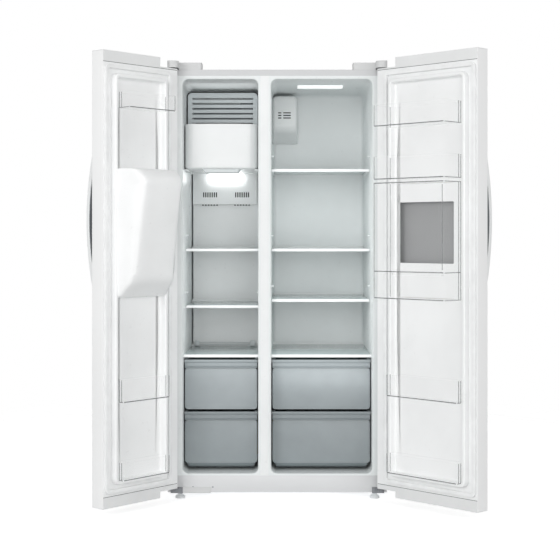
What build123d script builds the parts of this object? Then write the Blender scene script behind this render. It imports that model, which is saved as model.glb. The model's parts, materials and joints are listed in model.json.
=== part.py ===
"""Side by side refrigerator: freezer on the left, fresh-food compartment on the right.

Frame: millimetres, +Z up, the front faces -Y. The origin is on the floor, under the
centre of the cabinet's footprint. Both doors are modelled standing open.

A door is drawn in its own closed frame (s, n, z): s runs from the hinge axis to the
free edge, n runs from the hinge axis into the cabinet, and z is the height above the
floor. place_on_door() then sets it on its side of the cabinet and swings it open.
"""

import math
import os
from dataclasses import dataclass

from build123d import *

# ---------------------------------------------------------------- cabinet
CABINET_WIDTH = 895.0
CABINET_DEPTH = 655.0
CABINET_TOP = 1755.0
BASE_HEIGHT = 31.0          # underside of the base pan
FLOOR_HEIGHT = 108.0        # floor of both compartments
ROOF = 39.0                 # from the compartments' ceilings up to the cabinet's top
CEILING_HEIGHT = CABINET_TOP - ROOF
SIDE_WALL = 61.0
BACK_WALL = 60.0
DIVIDER_WIDTH = 53.0
DIVIDER_X = -52.2           # centre of the wall between the compartments
SHEET = 1.0                 # steel sheet
LINER = 1.5                 # plastic liner
CUT = 1.0                   # how far a cutting block runs past the face it opens
STEEL_LIP = 38.0            # front return of the side sheets
TOP_LIP = 25.0              # front return of the top sheet
FLANGE_DROP = 8.0           # liner flange below the compartment floor
MULLION_SIDE = 10.0         # liner flange left bare each side of the mullion strip

# ---------------------------------------------------------------- machine bay
BAY_HEIGHT = 285.0
BAY_DEPTH = 215.0
BAY_FOAM = 45.0
PAN_SHEET = 2.0
PAN_RIM = 31.0              # height of the base pan's upturned rim

# ---------------------------------------------------------------- doors
DOOR_BOTTOM = 31.0
DOOR_RISE = 35.0            # the doors' tops above the cabinet's
DOOR_TOP = CABINET_TOP + DOOR_RISE
DOOR_OUTER = 43.0           # from the hinge axis out to the door's outer face
DOOR_INNER = 26.0           # from the hinge axis in to the door's inner face
DOOR_GAP = 5.0              # between the two closed doors
DOOR_EDGE_RADIUS = 8.0
HINGE_INSET = 14.5          # hinge axis to the cabinet's side
HINGE_OFFSET = 38.8        # hinge axis to the cabinet's front
FREEZER_OPEN = 131.3        # degrees, as modelled
FRIDGE_OPEN = 135.3
CAP_LIP = 3.0
TOP_CAP = 43.0
BOTTOM_CAP = 44.0
NOTCH_LENGTH = 94.0         # hinge notch in each end cap
TOP_NOTCH = 37.0
BOTTOM_NOTCH = 25.0
DOOR_LINER = 2.5
DIKE_WIDTH = 16.0
DIKE_HEIGHT = 28.0
DIKE_SIDE_CLEARANCE = 15.0
DIKE_END_CLEARANCE = 13.0
DIKE_RADIUS = 5.0
DIKE_CORNER = 14.0
GASKET_WIDTH = 17.0
GASKET_SET_BACK = 4.0       # gasket to the edge of the compartment's mouth
GASKET_CLEARANCE = 0.5

# ---------------------------------------------------------------- hinges
PIN_RADIUS = 5.0
RUNNING_CLEARANCE = 0.05
PIN_LENGTH = 28.0
HINGE_PLATE = 4.0
PIN_END_GAP = 2.0
BORE_BOSS = 11.0
BOSS_FLOOR = 3.0
TOP_PLATE_REACH = 92.0      # hinge plate from the axis towards the middle
TOP_PLATE_BACK = 60.0       # hinge plate behind the cabinet's front
HINGE_NOSE = 8.0
COVER_HEIGHT = 29.0
COVER_LENGTH = 135.0
COVER_WALL = 2.5
COVER_GAP = 3.0             # cover to the door's notch floor
COVER_SIDE = 4.0            # cover to the cabinet's side
COVER_BACK = 74.0           # cover behind the cabinet's front
COVER_CORNER = 8.0
COVER_NECK = 34.0           # forward part of the cover, from the hinge axis towards the middle
COVER_NOSE_OFFSET = 8.0
COVER_NOSE_RADIUS = 29.5
COVER_TAB = 17.0
COVER_TAB_WIDTH = 24.0
COVER_TAB_THICK = 3.0
LOWER_EAR = 5.0
LOWER_EAR_GAP = 3.0
LOWER_BRACKET_WIDTH = 50.0
LOWER_BRACKET_DROP = 3.0
LOWER_COVER_LENGTH = 176.0
LOWER_COVER_THICK = 5.0
LOWER_COVER_RADIUS = 4.0
LOWER_BRACKET_SIDE = 12.0

# ---------------------------------------------------------------- handles
HANDLE_BOTTOM = CEILING_HEIGHT - 886.0
HANDLE_TOP = CEILING_HEIGHT - 275.0
HANDLE_STAND_OFF = 58.0
HANDLE_THICK = 17.0
HANDLE_WIDTH = 26.0
HANDLE_INBOARD = 22.0
HANDLE_FOOT = 45.0
HANDLE_END = 9.0            # blunt thickness of the bar's two ends
HANDLE_RADIUS = 4.0

# ---------------------------------------------------------------- shelves and drawers
GLASS = 4.5
TRIM_HEIGHT = 12.0
TRIM_DEPTH = 14.0
LEDGE_WIDTH = 9.0
LEDGE_HEIGHT = 6.0
SIDE_CLEARANCE = 2.5
SEAT_GAP = 0.3
FREEZER_SHELF_TOPS = (1023.0, 785.0)
FRIDGE_SHELF_TOPS = (CEILING_HEIGHT - 360.0, 1023.0, 812.0)
FREEZER_SHELF_RECESS = 150.0
FRIDGE_SHELF_RECESS = 130.0
SHELF_REAR_GAP = 12.0
COVER_TOP = 587.0
COVER_RECESS = 52.0
DRAWER_RIMS = (567.0, 353.0)
DRAWER_FLOORS = (359.0, 123.0)
DRAWER_RECESS = 62.0
DRAWER_WALL = 2.5
DRAWER_SIDE = 14.0          # drawer body to the compartment's side
RIM_SIDE = 5.0              # drawer rim to the compartment's side
RIM_THICK = 4.0
LIP_HEIGHT = 34.0
LIP_DEPTH = 11.0
RAIL_HEIGHT = 10.0
DRAWER_REAR_GAP = 8.0
DRAWER_RADIUS = 14.0
LIP_RADIUS = 4.0
GRIP_SIDE = 30.0            # end of the grip hollow to the drawer's side
SHELF_TAIL_RISE = 8.0
TRIM_RADIUS = 2.0
TRIM_RISE = 1.0             # trim above the glass

# ---------------------------------------------------------------- freezer fittings
DUCT_RECESS = 520.0         # freezer duct panel behind the cabinet's front
DUCT_SIDE_GAP = 6.0
FAN_HOUSING_DEPTH = 22.0
FAN_HOUSING_BOTTOM = CEILING_HEIGHT - 499.0
FAN_HOUSING_TOP = CEILING_HEIGHT - 16.0
FAN_HEIGHT = 1130.0
FAN_RADIUS = 55.0
FAN_BLADES = 5
FAN_BLADE_TWIST = 32.0
FAN_BLADE_CHORD = 20.0
FAN_BLADE_THICK = 1.6
FAN_HUB_RADIUS = 13.0
FAN_HUB_LENGTH = 16.0
FAN_HUB_GAP = 4.0
FAN_MOTOR_RADIUS = 28.0
FAN_MOTOR_LENGTH = 30.0
FAN_SHAFT_RADIUS = 3.0
FAN_SHAFT_LENGTH = 22.0
FAN_BRACKET_HALF = 75.0
FAN_BRACKET_HEIGHT = 18.0
FAN_HOUSING_INSET = 11.0
RETURN_SLOTS = 6
RETURN_SLOT_HALF = 90.0
RETURN_SLOT_HEIGHT = 6.0
RETURN_SLOT_PITCH = 30.0
RETURN_SLOT_START = 25.0   # above the step over the machine bay
VENT_TOP = CEILING_HEIGHT - 445.0
VENT_HEIGHT = 22.0
VENT_SLOT = 5.0
VENT_PITCH = 9.5
VENT_COUNT = 7
VENT_SPREAD = 71.5          # group centre from the compartment's centre
BUCKET_FLOOR = CEILING_HEIGHT - 363.0
BUCKET_RIM = CEILING_HEIGHT - 178.0
BUCKET_RECESS = 40.0
BUCKET_DEPTH = 380.0
BUCKET_WALL = 3.0
BUCKET_SIDE = 3.5
BUCKET_BOW = 14.0
BUCKET_LEDGE = 15.0
CHUTE_DROP = 14.0
CHUTE_WIDTH = 160.0
CHUTE_DEPTH = 90.0
CHUTE_TAPER = 12.0
CHUTE_WALL = 8.0
CHUTE_SET_BACK = 6.0
AUGER_HEIGHT = BUCKET_FLOOR + 49.0
AUGER_ROD = 4.0
AUGER_RADIUS = 38.0
AUGER_PADDLES = 9
AUGER_PADDLE = (14.0, 2.5)
AUGER_PADDLE_SKEW = 24.0
AUGER_TURN = 50.0           # from one paddle to the next
AUGER_START = 24.0
AUGER_PADDLE_START = 36.0
AUGER_PADDLE_SPAN = 320.0
AUGER_DISC_RADIUS = 14.0
AUGER_DISC_GAP = 4.0
AUGER_DISC = 8.0
GRILLE_RECESS = 200.0
GRILLE_BOTTOM = CEILING_HEIGHT - 174.0
GRILLE_TOP = CEILING_HEIGHT - 34.0
GRILLE_SIDE = 6.0
GRILLE_WALL = 2.5
GRILLE_SLOTS = 6
GRILLE_SLOT = 6.5
GRILLE_PITCH = 21.0
GRILLE_DEPTH = 160.0
GRILLE_RADIUS = 18.0
GRILLE_SLOT_SIDE = 20.0
GRILLE_SLOT_TOP = 22.0
GRILLE_LUG = 14.0
GRILLE_LUG_DEPTH = 26.0
GRILLE_LUG_DROP = 70.0      # lugs below the cover's top
MAKER_SIDE = 30.0           # ice maker to the compartment's side
MAKER_SET_BACK = 22.0       # ice maker behind and above the grille's edges
MAKER_HEIGHT = 62.0
MAKER_DEPTH = 120.0
MAKER_DRIVE = 50.0
MAKER_DRIVE_PROUD = 4.0
MAKER_DRIVE_RISE = 22.0
MAKER_ARM = 30.0
MAKER_RADIUS = 12.0
MAKER_POCKETS = 7
MAKER_POCKET_FLOOR = 14.0
MAKER_POCKET_WALL = 3.0
MAKER_RIM = 8.0

# ---------------------------------------------------------------- fridge fittings
AIR_DUCT_WIDTH = 112.0
AIR_DUCT_DEPTH = 90.0
AIR_DUCT_TOP = CEILING_HEIGHT - 15.0
AIR_DUCT_BOTTOM = CEILING_HEIGHT - 223.0
AIR_DUCT_KNEE = CEILING_HEIGHT - 165.0
AIR_DUCT_FOOT = 20.0
AIR_SLOT_ROWS = 3
AIR_SLOT_COLUMNS = ((26.0, 18.0), (50.0, 32.0))     # start and width
AIR_SLOT_TOP = 84.0
AIR_SLOT_PITCH = 13.0
AIR_SLOT_HEIGHT = 5.0
LAMP_WIDTH = 193.0
LAMP_DEPTH = 80.0
LAMP_DROP = 5.0
LAMP_RECESS = 222.0
LAMP_RADIUS = 6.0
FREEZER_LAMP_WIDTH = 160.0
FREEZER_LAMP_HEIGHT = 38.0
FREEZER_LAMP_TOP = CEILING_HEIGHT - 365.0
FREEZER_LAMP_DEPTH = 20.0
FREEZER_LAMP_RADIUS = 8.0

# ---------------------------------------------------------------- door storage
BASKET_WALL = 2.5
BASKET_CORNER = 24.0
FREEZER_BASKETS = (
    (CEILING_HEIGHT - 148.0, CEILING_HEIGHT - 86.0, 60.0),
    (438.0, 525.0, 26.0),
    (138.0, 208.0, 26.0),
)
FRIDGE_BASKETS = (
    (CEILING_HEIGHT - 211.0, CEILING_HEIGHT - 126.0, 105.0),
    (CEILING_HEIGHT - 419.0, CEILING_HEIGHT - 328.0, 105.0),
    (443.0, 528.0, 27.0),
    (138.0, 216.0, 27.0),
)
# each basket: floor, rim, and how far it stands out beyond the door's dikes

# dispenser housing on the freezer door's inner side
BULGE_TOP = CEILING_HEIGHT - 381.0
BULGE_SHOULDER = CEILING_HEIGHT - 422.0
BULGE_KNEE = CEILING_HEIGHT - 811.0
BULGE_BOTTOM = CEILING_HEIGHT - 878.0
BULGE_TOP_DEPTH = 140.0
BULGE_SHOULDER_DEPTH = 180.0
BULGE_KNEE_DEPTH = 120.0
BULGE_HINGE_INSET = 30.0      # side faces lean in by this much, hinge side
BULGE_FREE_INSET = 34.0
BULGE_WALL = 3.0

# dispenser on the freezer door's outer side
DISPENSER_SIDE = 9.9        # dispenser's sides inside the door's storage bay
DISPENSER_BOTTOM = CEILING_HEIGHT - 826.0
DISPENSER_TOP = CEILING_HEIGHT - 416.0
NICHE_TOP = CEILING_HEIGHT - 566.0
NICHE_DEPTH = 100.0
FRAME_WALL = 3.0
BEZEL = 9.0
BEZEL_PROUD = 3.0
BEZEL_RADIUS = 10.0
PANEL_DEPTH = 30.0          # control panel above the niche
PADDLE_WIDTH = 60.0
PADDLE_LENGTH = 110.0
PADDLE_THICK = 5.0
PADDLE_AXIS_DROP = 14.0
PADDLE_AXIS_DEPTH = 28.0
PADDLE_PIN = 3.0
PADDLE_BARREL = 5.5
PADDLE_RADIUS = 12.0
PADDLE_LUG = 6.0
PADDLE_LUG_GAP = 0.5
PADDLE_PIN_OVERHANG = 5.0
TRAY_HEIGHT = 16.0
TRAY_DEPTH = 84.0
TRAY_SIDE_GAP = 1.5
TRAY_WALL = 2.0
TRAY_GRID = 3.0
TRAY_SLOTS = 13
TRAY_BAR = 4.0              # between two slots of the grid
TRAY_MARGIN = 8.0
TRAY_SLOT_START = 12.0

# home bar in the fridge door
BAR_WIDTH = 303.0
BAR_BOTTOM = CEILING_HEIGHT - 751.0
BAR_TOP = CEILING_HEIGHT - 501.0
BAR_DOOR_THICK = 38.0
BAR_DOOR_GAP = 2.0
SLEEVE_WALL = 4.0
BAR_PIVOT = 8.0
BAR_PIN = 3.0
BAR_PIN_LENGTH = 5.5
BAR_PIN_END = 0.3
BAR_OFFSET = 28.0           # towards the hinge from the middle of the storage bay
BAR_STOP = 5.0
BAR_LATCH = (90.0, 14.0, 30.0, 12.0)    # width, depth, lower and upper edge below the top
CASE_BOTTOM = CEILING_HEIGHT - 883.0
CASE_SILL = CEILING_HEIGHT - 792.0
CASE_TOP = CEILING_HEIGHT - 431.0
CASE_STAND_OUT = 105.0
CASE_WALL = 3.0
CASE_CORNER = 10.0
FLAP_WIDTH = 240.0
FLAP_END = 14.0             # flap to the case's free end
FLAP_THICK = 3.0
FLAP_GAP = 1.0
FLAP_FOOT_GAP = 2.5         # lets the flap's foot swing over the sill
FLAP_PIN = 1.5
FLAP_BARREL = 3.2
FLAP_LUG = 5.0
FLAP_AXIS_RISE = 6.0        # flap axis above the sill
CASE_HEAD = 12.0            # case above the flap
FLAP_GRIP = (10.0, 4.0, 6.0)            # start and end from the flap's edge, height
FLAP_GRIP_Z = (120.0, 70.0)             # below the case's top

# ---------------------------------------------------------------- feet and rollers
LEG_RADIUS = 20.0
LEG_FOOT = 12.0
LEG_ROD = 5.0
LEG_INSET_X = 48.0
LEG_INSET_Y = 45.0
ROLLER_EAR_GAP = 1.0
ROLLER_CHAMFER = 1.5
ROLLER_RADIUS = 19.0
ROLLER_WIDTH = 20.0
ROLLER_PIN = 4.0
ROLLER_INSET_X = 70.0
ROLLER_INSET_Y = 70.0

# ---------------------------------------------------------------- compressor and coils
COMPRESSOR_RADIUS = 68.0
COMPRESSOR_FOOT = 14.0      # foot plate beyond the can
COMPRESSOR_FOOT_RADIUS = 12.0
GROMMET_RADIUS = 9.0
GROMMET_INSET = 13.0
TERMINAL_BOX = (22.0, 26.0, 55.0, 115.0)    # beyond the can, half width, bottom, top
STUB_HEIGHT = 60.0
COMPRESSOR_HEIGHT = 165.0
COMPRESSOR_X = 250.0
GROMMET = 12.0
TUBE = 3.0
FITTING_INSET = 55.0
FITTING_DROP = 40.0         # inlet below the cover's top, gland above its bottom
INLET_RADIUS = 13.2
INLET_COLLAR = 3.0
INLET_LENGTH = 14.0
INLET_WALL = 4.0
INLET_TAIL = 30.0           # inside the cover
INLET_BLIND = 5.0
GLAND_BORE = 4.0
GLAND_LENGTH = 22.0
GLAND_WALL = 4.0
GLAND_FLANGE = 7.0
COVER_VENT_ROWS = 5
COVER_VENT_COLUMNS = 6
COVER_VENT = (60.0, 8.0)    # slot width and height
COVER_VENT_PITCH = (90.0, 32.0)
COVER_VENT_START = (-300.0, 45.0)
COIL_RUNS = 8
COIL_PITCH = 22.0
COIL_SPAN = 300.0
COIL_X = -90.0
COIL_BEND = 0.45            # bend radius as a share of the pitch
COIL_BRACKET = 30.0
DRAIN_PAN_HALF = 200.0
DRAIN_PAN_MARGIN = 30.0     # to the bay's front and back
DRAIN_PAN_HEADROOM = 20.0
DRAIN_PAN_RADIUS = 10.0
FIN_COUNT = 22
FIN_PITCH = 11.0
EVAPORATOR_BOTTOM = 470.0
EVAPORATOR_HEIGHT = 420.0
EVAPORATOR_DEPTH = 46.0
EVAPORATOR_ROWS = 9
EVAPORATOR_TUBE = 4.0
EVAPORATOR_OVERHANG = 12.0
FIN_THICK = 1.0

# ---------------------------------------------------------------- places worked out from the sizes
HALF_WIDTH = CABINET_WIDTH / 2
FRONT = -CABINET_DEPTH / 2
BACK = CABINET_DEPTH / 2
INNER_BACK = BACK - BACK_WALL
FREEZER_X = (-HALF_WIDTH + SIDE_WALL, DIVIDER_X - DIVIDER_WIDTH / 2)
FRIDGE_X = (DIVIDER_X + DIVIDER_WIDTH / 2, HALF_WIDTH - SIDE_WALL)
STEP_FRONT = BACK - BAY_DEPTH - BAY_FOAM
STEP_TOP = BAY_HEIGHT + BAY_FOAM
HINGE_X = HALF_WIDTH - HINGE_INSET
HINGE_Y = FRONT - HINGE_OFFSET
CABINET_N = HINGE_OFFSET                       # the cabinet's front, seen from a door's axis
DIKE_N = DOOR_INNER + DIKE_HEIGHT
FREEZER_MID = (FREEZER_X[0] + FREEZER_X[1]) / 2
FRIDGE_MID = (FRIDGE_X[0] + FRIDGE_X[1]) / 2
DUCT_Y = FRONT + DUCT_RECESS
TOP_NOTCH_Z = DOOR_TOP - TOP_NOTCH
BOTTOM_NOTCH_Z = DOOR_BOTTOM + BOTTOM_NOTCH
LOWER_EAR_TOP = BOTTOM_NOTCH_Z - LOWER_EAR_GAP
TOP_BORE_END = CABINET_TOP - PIN_LENGTH - PIN_END_GAP
BOTTOM_BORE_END = LOWER_EAR_TOP + PIN_LENGTH + PIN_END_GAP


@dataclass(frozen=True)
class Door:
    """Sizes of one door in its closed frame, all measured from its hinge axis."""

    side: int
    angle: float
    reach: float
    mouth_start: float
    mouth_end: float

    @property
    def edge(self):
        """The door's hinge-side edge."""
        return -HINGE_INSET

    @property
    def dike_start(self):
        return self.mouth_start + DIKE_SIDE_CLEARANCE

    @property
    def dike_end(self):
        return self.mouth_end - DIKE_SIDE_CLEARANCE

    @property
    def bay_start(self):
        """Inner side of the hinge-side dike."""
        return self.dike_start + DIKE_WIDTH

    @property
    def bay_end(self):
        """Inner side of the free-side dike."""
        return self.dike_end - DIKE_WIDTH


FREEZER_DOOR = Door(
    side=-1,
    angle=FREEZER_OPEN,
    reach=HINGE_X + DIVIDER_X - DOOR_GAP / 2,
    mouth_start=HINGE_X - HALF_WIDTH + SIDE_WALL,
    mouth_end=HINGE_X + FREEZER_X[1],
)
FRIDGE_DOOR = Door(
    side=1,
    angle=FRIDGE_OPEN,
    reach=HINGE_X - DIVIDER_X - DOOR_GAP / 2,
    mouth_start=HINGE_X - HALF_WIDTH + SIDE_WALL,
    mouth_end=HINGE_X - FRIDGE_X[0],
)
DIKE_BOTTOM = FLOOR_HEIGHT + DIKE_END_CLEARANCE
DIKE_TOP = CEILING_HEIGHT - DIKE_END_CLEARANCE

NODES = {}


# ---------------------------------------------------------------- shape helpers
def block(x0, x1, y0, y1, z0, z1):
    """A box between two corners."""
    middle = Pos((x0 + x1) / 2, (y0 + y1) / 2, (z0 + z1) / 2)
    return middle * Box(x1 - x0, y1 - y0, z1 - z0)


def rounded(shape, axis, radius):
    """The shape with its edges along one axis rounded."""
    return fillet(shape.edges().filter_by(axis), radius)


def upright(x, y, z0, z1, radius):
    """A cylinder along Z."""
    return Pos(x, y, (z0 + z1) / 2) * Cylinder(radius, z1 - z0)


def crosswise(x0, x1, y, z, radius):
    """A cylinder along X."""
    return Pos((x0 + x1) / 2, y, z) * Rot(0, 90, 0) * Cylinder(radius, x1 - x0)


def lengthwise(x, y0, y1, z, radius):
    """A cylinder along Y."""
    return Pos(x, (y0 + y1) / 2, z) * Rot(90, 0, 0) * Cylinder(radius, y1 - y0)


def prism_xy(points, z0, z1):
    """An outline in plan, raised from z0 to z1."""
    face = make_face(Polyline(*points, close=True))
    return Pos(0, 0, z0) * extrude(face, amount=z1 - z0, dir=(0, 0, 1))


def prism_yz(points, x0, x1):
    """An outline seen from the side, drawn out from x0 to x1."""
    face = Plane.YZ * make_face(Polyline(*points, close=True))
    return Pos(x0, 0, 0) * extrude(face, amount=x1 - x0, dir=(1, 0, 0))


def prism_xz(points, y0, y1):
    """An outline seen from the front, drawn out from y0 to y1."""
    face = Plane.XZ * make_face(Polyline(*points, close=True))
    return Pos(0, y0, 0) * extrude(face, amount=y1 - y0, dir=(0, 1, 0))


def mirrored(shape):
    """The same shape on the other side of the cabinet's middle."""
    return mirror(shape, about=Plane.YZ)


def place_on_door(door, shape):
    """Set a shape drawn in a door's closed frame on that door, swung open."""
    if door.side > 0:
        shape = mirrored(shape)
    return Pos(door.side * HINGE_X, HINGE_Y, 0) * Rot(0, 0, door.side * door.angle) * shape


def keep(name, *shapes):
    """Store the solids of one node."""
    NODES[name] = list(shapes)


# ---------------------------------------------------------------- cabinet shell
def side_panel():
    """Left side sheet with its front return."""
    skin = block(-HALF_WIDTH, -HALF_WIDTH + SHEET, FRONT, BACK, BASE_HEIGHT, CABINET_TOP)
    lip = block(
        -HALF_WIDTH, -HALF_WIDTH + STEEL_LIP, FRONT, FRONT + SHEET, BASE_HEIGHT, CABINET_TOP
    )
    return skin + lip


def make_case():
    """Steel case: two side panels, the top and the back."""
    left = side_panel()
    keep("side_panels", left, mirrored(left))
    inner = HALF_WIDTH - SHEET
    roof = block(-inner, inner, FRONT, BACK, CABINET_TOP - SHEET, CABINET_TOP)
    lip_end = HALF_WIDTH - STEEL_LIP
    lip = block(-lip_end, lip_end, FRONT, FRONT + SHEET, CABINET_TOP - TOP_LIP, CABINET_TOP)
    roof = roof - block(-inner, -lip_end, FRONT, FRONT + SHEET, CABINET_TOP - SHEET, CABINET_TOP)
    roof = roof - block(lip_end, inner, FRONT, FRONT + SHEET, CABINET_TOP - SHEET, CABINET_TOP)
    keep("top_panel", roof + lip)
    keep(
        "back_panel",
        block(-inner, inner, BACK - SHEET, BACK, BAY_HEIGHT, CABINET_TOP - SHEET),
    )


def make_foam():
    """Insulation, as slabs that fill each wall between the sheets and the liners."""
    front = FRONT + LINER
    back = BACK - SHEET
    roof = CABINET_TOP - SHEET
    pan_top = BASE_HEIGHT + PAN_RIM
    left = -HALF_WIDTH + SHEET
    right = HALF_WIDTH - SHEET
    ceiling = CEILING_HEIGHT + LINER
    floor = FLOOR_HEIGHT - LINER
    inner_back = INNER_BACK + LINER
    step_front = STEP_FRONT - LINER
    bay_front = BACK - BAY_DEPTH
    side_points = [
        (front, pan_top),
        (bay_front, pan_top),
        (bay_front, BAY_HEIGHT),
        (back, BAY_HEIGHT),
        (back, roof),
        (front, roof),
    ]
    left_slab = prism_yz(side_points, left, FREEZER_X[0] - LINER)
    right_slab = prism_yz(side_points, FRIDGE_X[1] + LINER, right)
    divider = prism_yz(side_points, FREEZER_X[1] + LINER, FRIDGE_X[0] - LINER)
    slabs = [left_slab, right_slab, divider]
    for x0, x1 in (FREEZER_X, FRIDGE_X):
        x0 = x0 - LINER
        x1 = x1 + LINER
        slabs.append(block(x0, x1, front, inner_back, ceiling, roof))
        slabs.append(block(x0, x1, inner_back, back, STEP_TOP - LINER, roof))
        slabs.append(block(x0, x1, front, step_front, pan_top, floor))
        step = [
            (step_front, pan_top),
            (bay_front, pan_top),
            (bay_front, BAY_HEIGHT),
            (back, BAY_HEIGHT),
            (back, STEP_TOP - LINER),
            (step_front, STEP_TOP - LINER),
        ]
        slabs.append(prism_yz(step, x0, x1))
    keep("cabinet_foam", *slabs)


def hollow_of(x0, x1, grow):
    """The space inside a compartment, grown on all sides, with the step over the machine bay."""
    room = block(
        x0 - grow,
        x1 + grow,
        FRONT,
        INNER_BACK + grow,
        FLOOR_HEIGHT - grow,
        CEILING_HEIGHT + grow,
    )
    step = block(
        x0 - grow,
        x1 + grow,
        STEP_FRONT - grow,
        INNER_BACK + grow,
        FLOOR_HEIGHT - grow,
        STEP_TOP - grow,
    )
    return room - step


def side_ledges(x0, x1, y0, y1, top, height, width):
    """A pair of ledges moulded on a compartment's side walls."""
    left = block(x0 - LINER / 2, x0 + width, y0, y1, top - height, top)
    right = block(x1 - width, x1 + LINER / 2, y0, y1, top - height, top)
    return left + right


def bucket_ledges():
    """The pair of ledges that the ice bucket slides on."""
    y0 = FRONT + BUCKET_RECESS + 2 * BUCKET_BOW
    return side_ledges(
        *FREEZER_X,
        y0,
        FRONT + BUCKET_RECESS + BUCKET_DEPTH,
        BUCKET_FLOOR - SEAT_GAP,
        LEDGE_HEIGHT,
        BUCKET_LEDGE,
    )


def make_liner(name, x0, x1, shelf_tops, shelf_recess, outer_flange_left, outer_flange_right):
    """One moulded compartment liner with its front flange, shelf ledges and drawer rails."""
    shell = hollow_of(x0, x1, LINER)
    flange = block(
        x0 - outer_flange_left,
        x1 + outer_flange_right,
        FRONT,
        FRONT + LINER,
        FLOOR_HEIGHT - FLANGE_DROP,
        CABINET_TOP - TOP_LIP,
    )
    inside = hollow_of(x0, x1, 0.0)
    liner = shell + flange - inside
    ledge_back = shelf_back(x0)
    for top in shelf_tops:
        under = top - GLASS - SEAT_GAP
        liner += side_ledges(
            x0, x1, FRONT + shelf_recess + TRIM_DEPTH, ledge_back, under, LEDGE_HEIGHT, LEDGE_WIDTH
        )
    cover_seat = COVER_TOP - GLASS
    liner += side_ledges(
        x0, x1, FRONT + COVER_RECESS + TRIM_DEPTH, ledge_back, cover_seat, LEDGE_HEIGHT, LEDGE_WIDTH
    )
    for rim in DRAWER_RIMS:
        rail_top = rim - RIM_THICK - SEAT_GAP
        rail_back = drawer_back(x0, rim)
        liner += side_ledges(
            x0,
            x1,
            FRONT + DRAWER_RECESS + LIP_DEPTH,
            rail_back,
            rail_top,
            RAIL_HEIGHT,
            DRAWER_SIDE - SIDE_CLEARANCE,
        )
    if name == "freezer_liner":
        liner += bucket_ledges()
    keep(name, liner)


def drawer_back(x0, rim):
    """Where a drawer ends: at its shelf's back, or at the step over the machine bay."""
    if rim > STEP_TOP + LIP_HEIGHT:
        return shelf_back(x0)
    return STEP_FRONT - DRAWER_REAR_GAP


def make_front_trim():
    """The mullion strip between the compartments and the kick plate below them."""
    x0 = FREEZER_X[1] + MULLION_SIDE
    x1 = FRIDGE_X[0] - MULLION_SIDE
    floor = FLOOR_HEIGHT - FLANGE_DROP
    keep("mullion_strip", block(x0, x1, FRONT, FRONT + SHEET, floor, CABINET_TOP - TOP_LIP))
    lip_end = HALF_WIDTH - STEEL_LIP
    keep("kick_plate", block(-lip_end, lip_end, FRONT, FRONT + LINER, BASE_HEIGHT, floor))


# ---------------------------------------------------------------- base
def make_base():
    """Base pan with its rim, roller ears and roller pins."""
    x = HALF_WIDTH - SHEET
    front = FRONT + PAN_SHEET
    back = BACK - SHEET
    rim_top = BASE_HEIGHT + PAN_RIM
    pan = block(-x, x, front, back, BASE_HEIGHT, rim_top)
    pan -= block(
        -x + PAN_SHEET,
        x - PAN_SHEET,
        front + PAN_SHEET,
        back - PAN_SHEET,
        BASE_HEIGHT + PAN_SHEET,
        rim_top,
    )
    y_leg = FRONT + LEG_INSET_Y
    for side in (-1, 1):
        x_leg = side * (HALF_WIDTH - LEG_INSET_X)
        boss = upright(x_leg, y_leg, BASE_HEIGHT, BASE_HEIGHT + PAN_RIM / 2, 2 * LEG_ROD)
        bore = upright(x_leg, y_leg, 0, rim_top, LEG_ROD + RUNNING_CLEARANCE)
        pan = pan + boss - bore
    y_roller = BACK - ROLLER_INSET_Y
    pins = []
    for side in (-1, 1):
        x_roller = side * (HALF_WIDTH - ROLLER_INSET_X)
        slot = block(
            x_roller - ROLLER_WIDTH / 2 - SIDE_CLEARANCE,
            x_roller + ROLLER_WIDTH / 2 + SIDE_CLEARANCE,
            y_roller - ROLLER_RADIUS - SIDE_CLEARANCE,
            y_roller + ROLLER_RADIUS + SIDE_CLEARANCE,
            BASE_HEIGHT,
            BASE_HEIGHT + PAN_SHEET,
        )
        pan -= slot
        inner = ROLLER_WIDTH / 2 + ROLLER_EAR_GAP
        outer = inner + 2 * PAN_SHEET
        ear_bottom = ROLLER_RADIUS - 2 * ROLLER_PIN
        for ear_side in (-1, 1):
            ear_x = sorted((x_roller + ear_side * inner, x_roller + ear_side * outer))
            ear = block(
                ear_x[0],
                ear_x[1],
                y_roller - 2 * ROLLER_PIN,
                y_roller + 2 * ROLLER_PIN,
                ear_bottom,
                BASE_HEIGHT + PAN_SHEET,
            )
            pan += ear
        pin = crosswise(x_roller - outer, x_roller + outer, y_roller, ROLLER_RADIUS, ROLLER_PIN)
        pan -= pin
        pins.append(pin)
    keep("base_pan", pan, *pins)


def make_feet():
    """Two levelling legs at the front and two rollers at the back."""
    y_leg = FRONT + LEG_INSET_Y
    for name, side in (("levelling_leg_left", -1), ("levelling_leg_right", 1)):
        x_leg = side * (HALF_WIDTH - LEG_INSET_X)
        foot = upright(x_leg, y_leg, 0, LEG_FOOT, LEG_RADIUS)
        foot = chamfer(foot.edges().group_by(Axis.Z)[-1], LEG_FOOT / 3)
        rod = upright(x_leg, y_leg, LEG_FOOT, BASE_HEIGHT + PAN_RIM - PAN_SHEET, LEG_ROD)
        collar = extrude(
            Pos(x_leg, y_leg, LEG_FOOT) * RegularPolygon(2 * LEG_ROD, 6), amount=LEG_FOOT / 2
        )
        keep(name, foot + rod + collar)
    y_roller = BACK - ROLLER_INSET_Y
    rollers = []
    for side in (-1, 1):
        x_roller = side * (HALF_WIDTH - ROLLER_INSET_X)
        half = ROLLER_WIDTH / 2
        wheel = crosswise(x_roller - half, x_roller + half, y_roller, ROLLER_RADIUS, ROLLER_RADIUS)
        wheel = chamfer(wheel.edges().filter_by(GeomType.CIRCLE), ROLLER_CHAMFER)
        bore = crosswise(
            x_roller - half, x_roller + half, y_roller, ROLLER_RADIUS, ROLLER_PIN + RUNNING_CLEARANCE
        )
        rollers.append(wheel - bore)
    keep("rear_rollers", *rollers)


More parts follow.
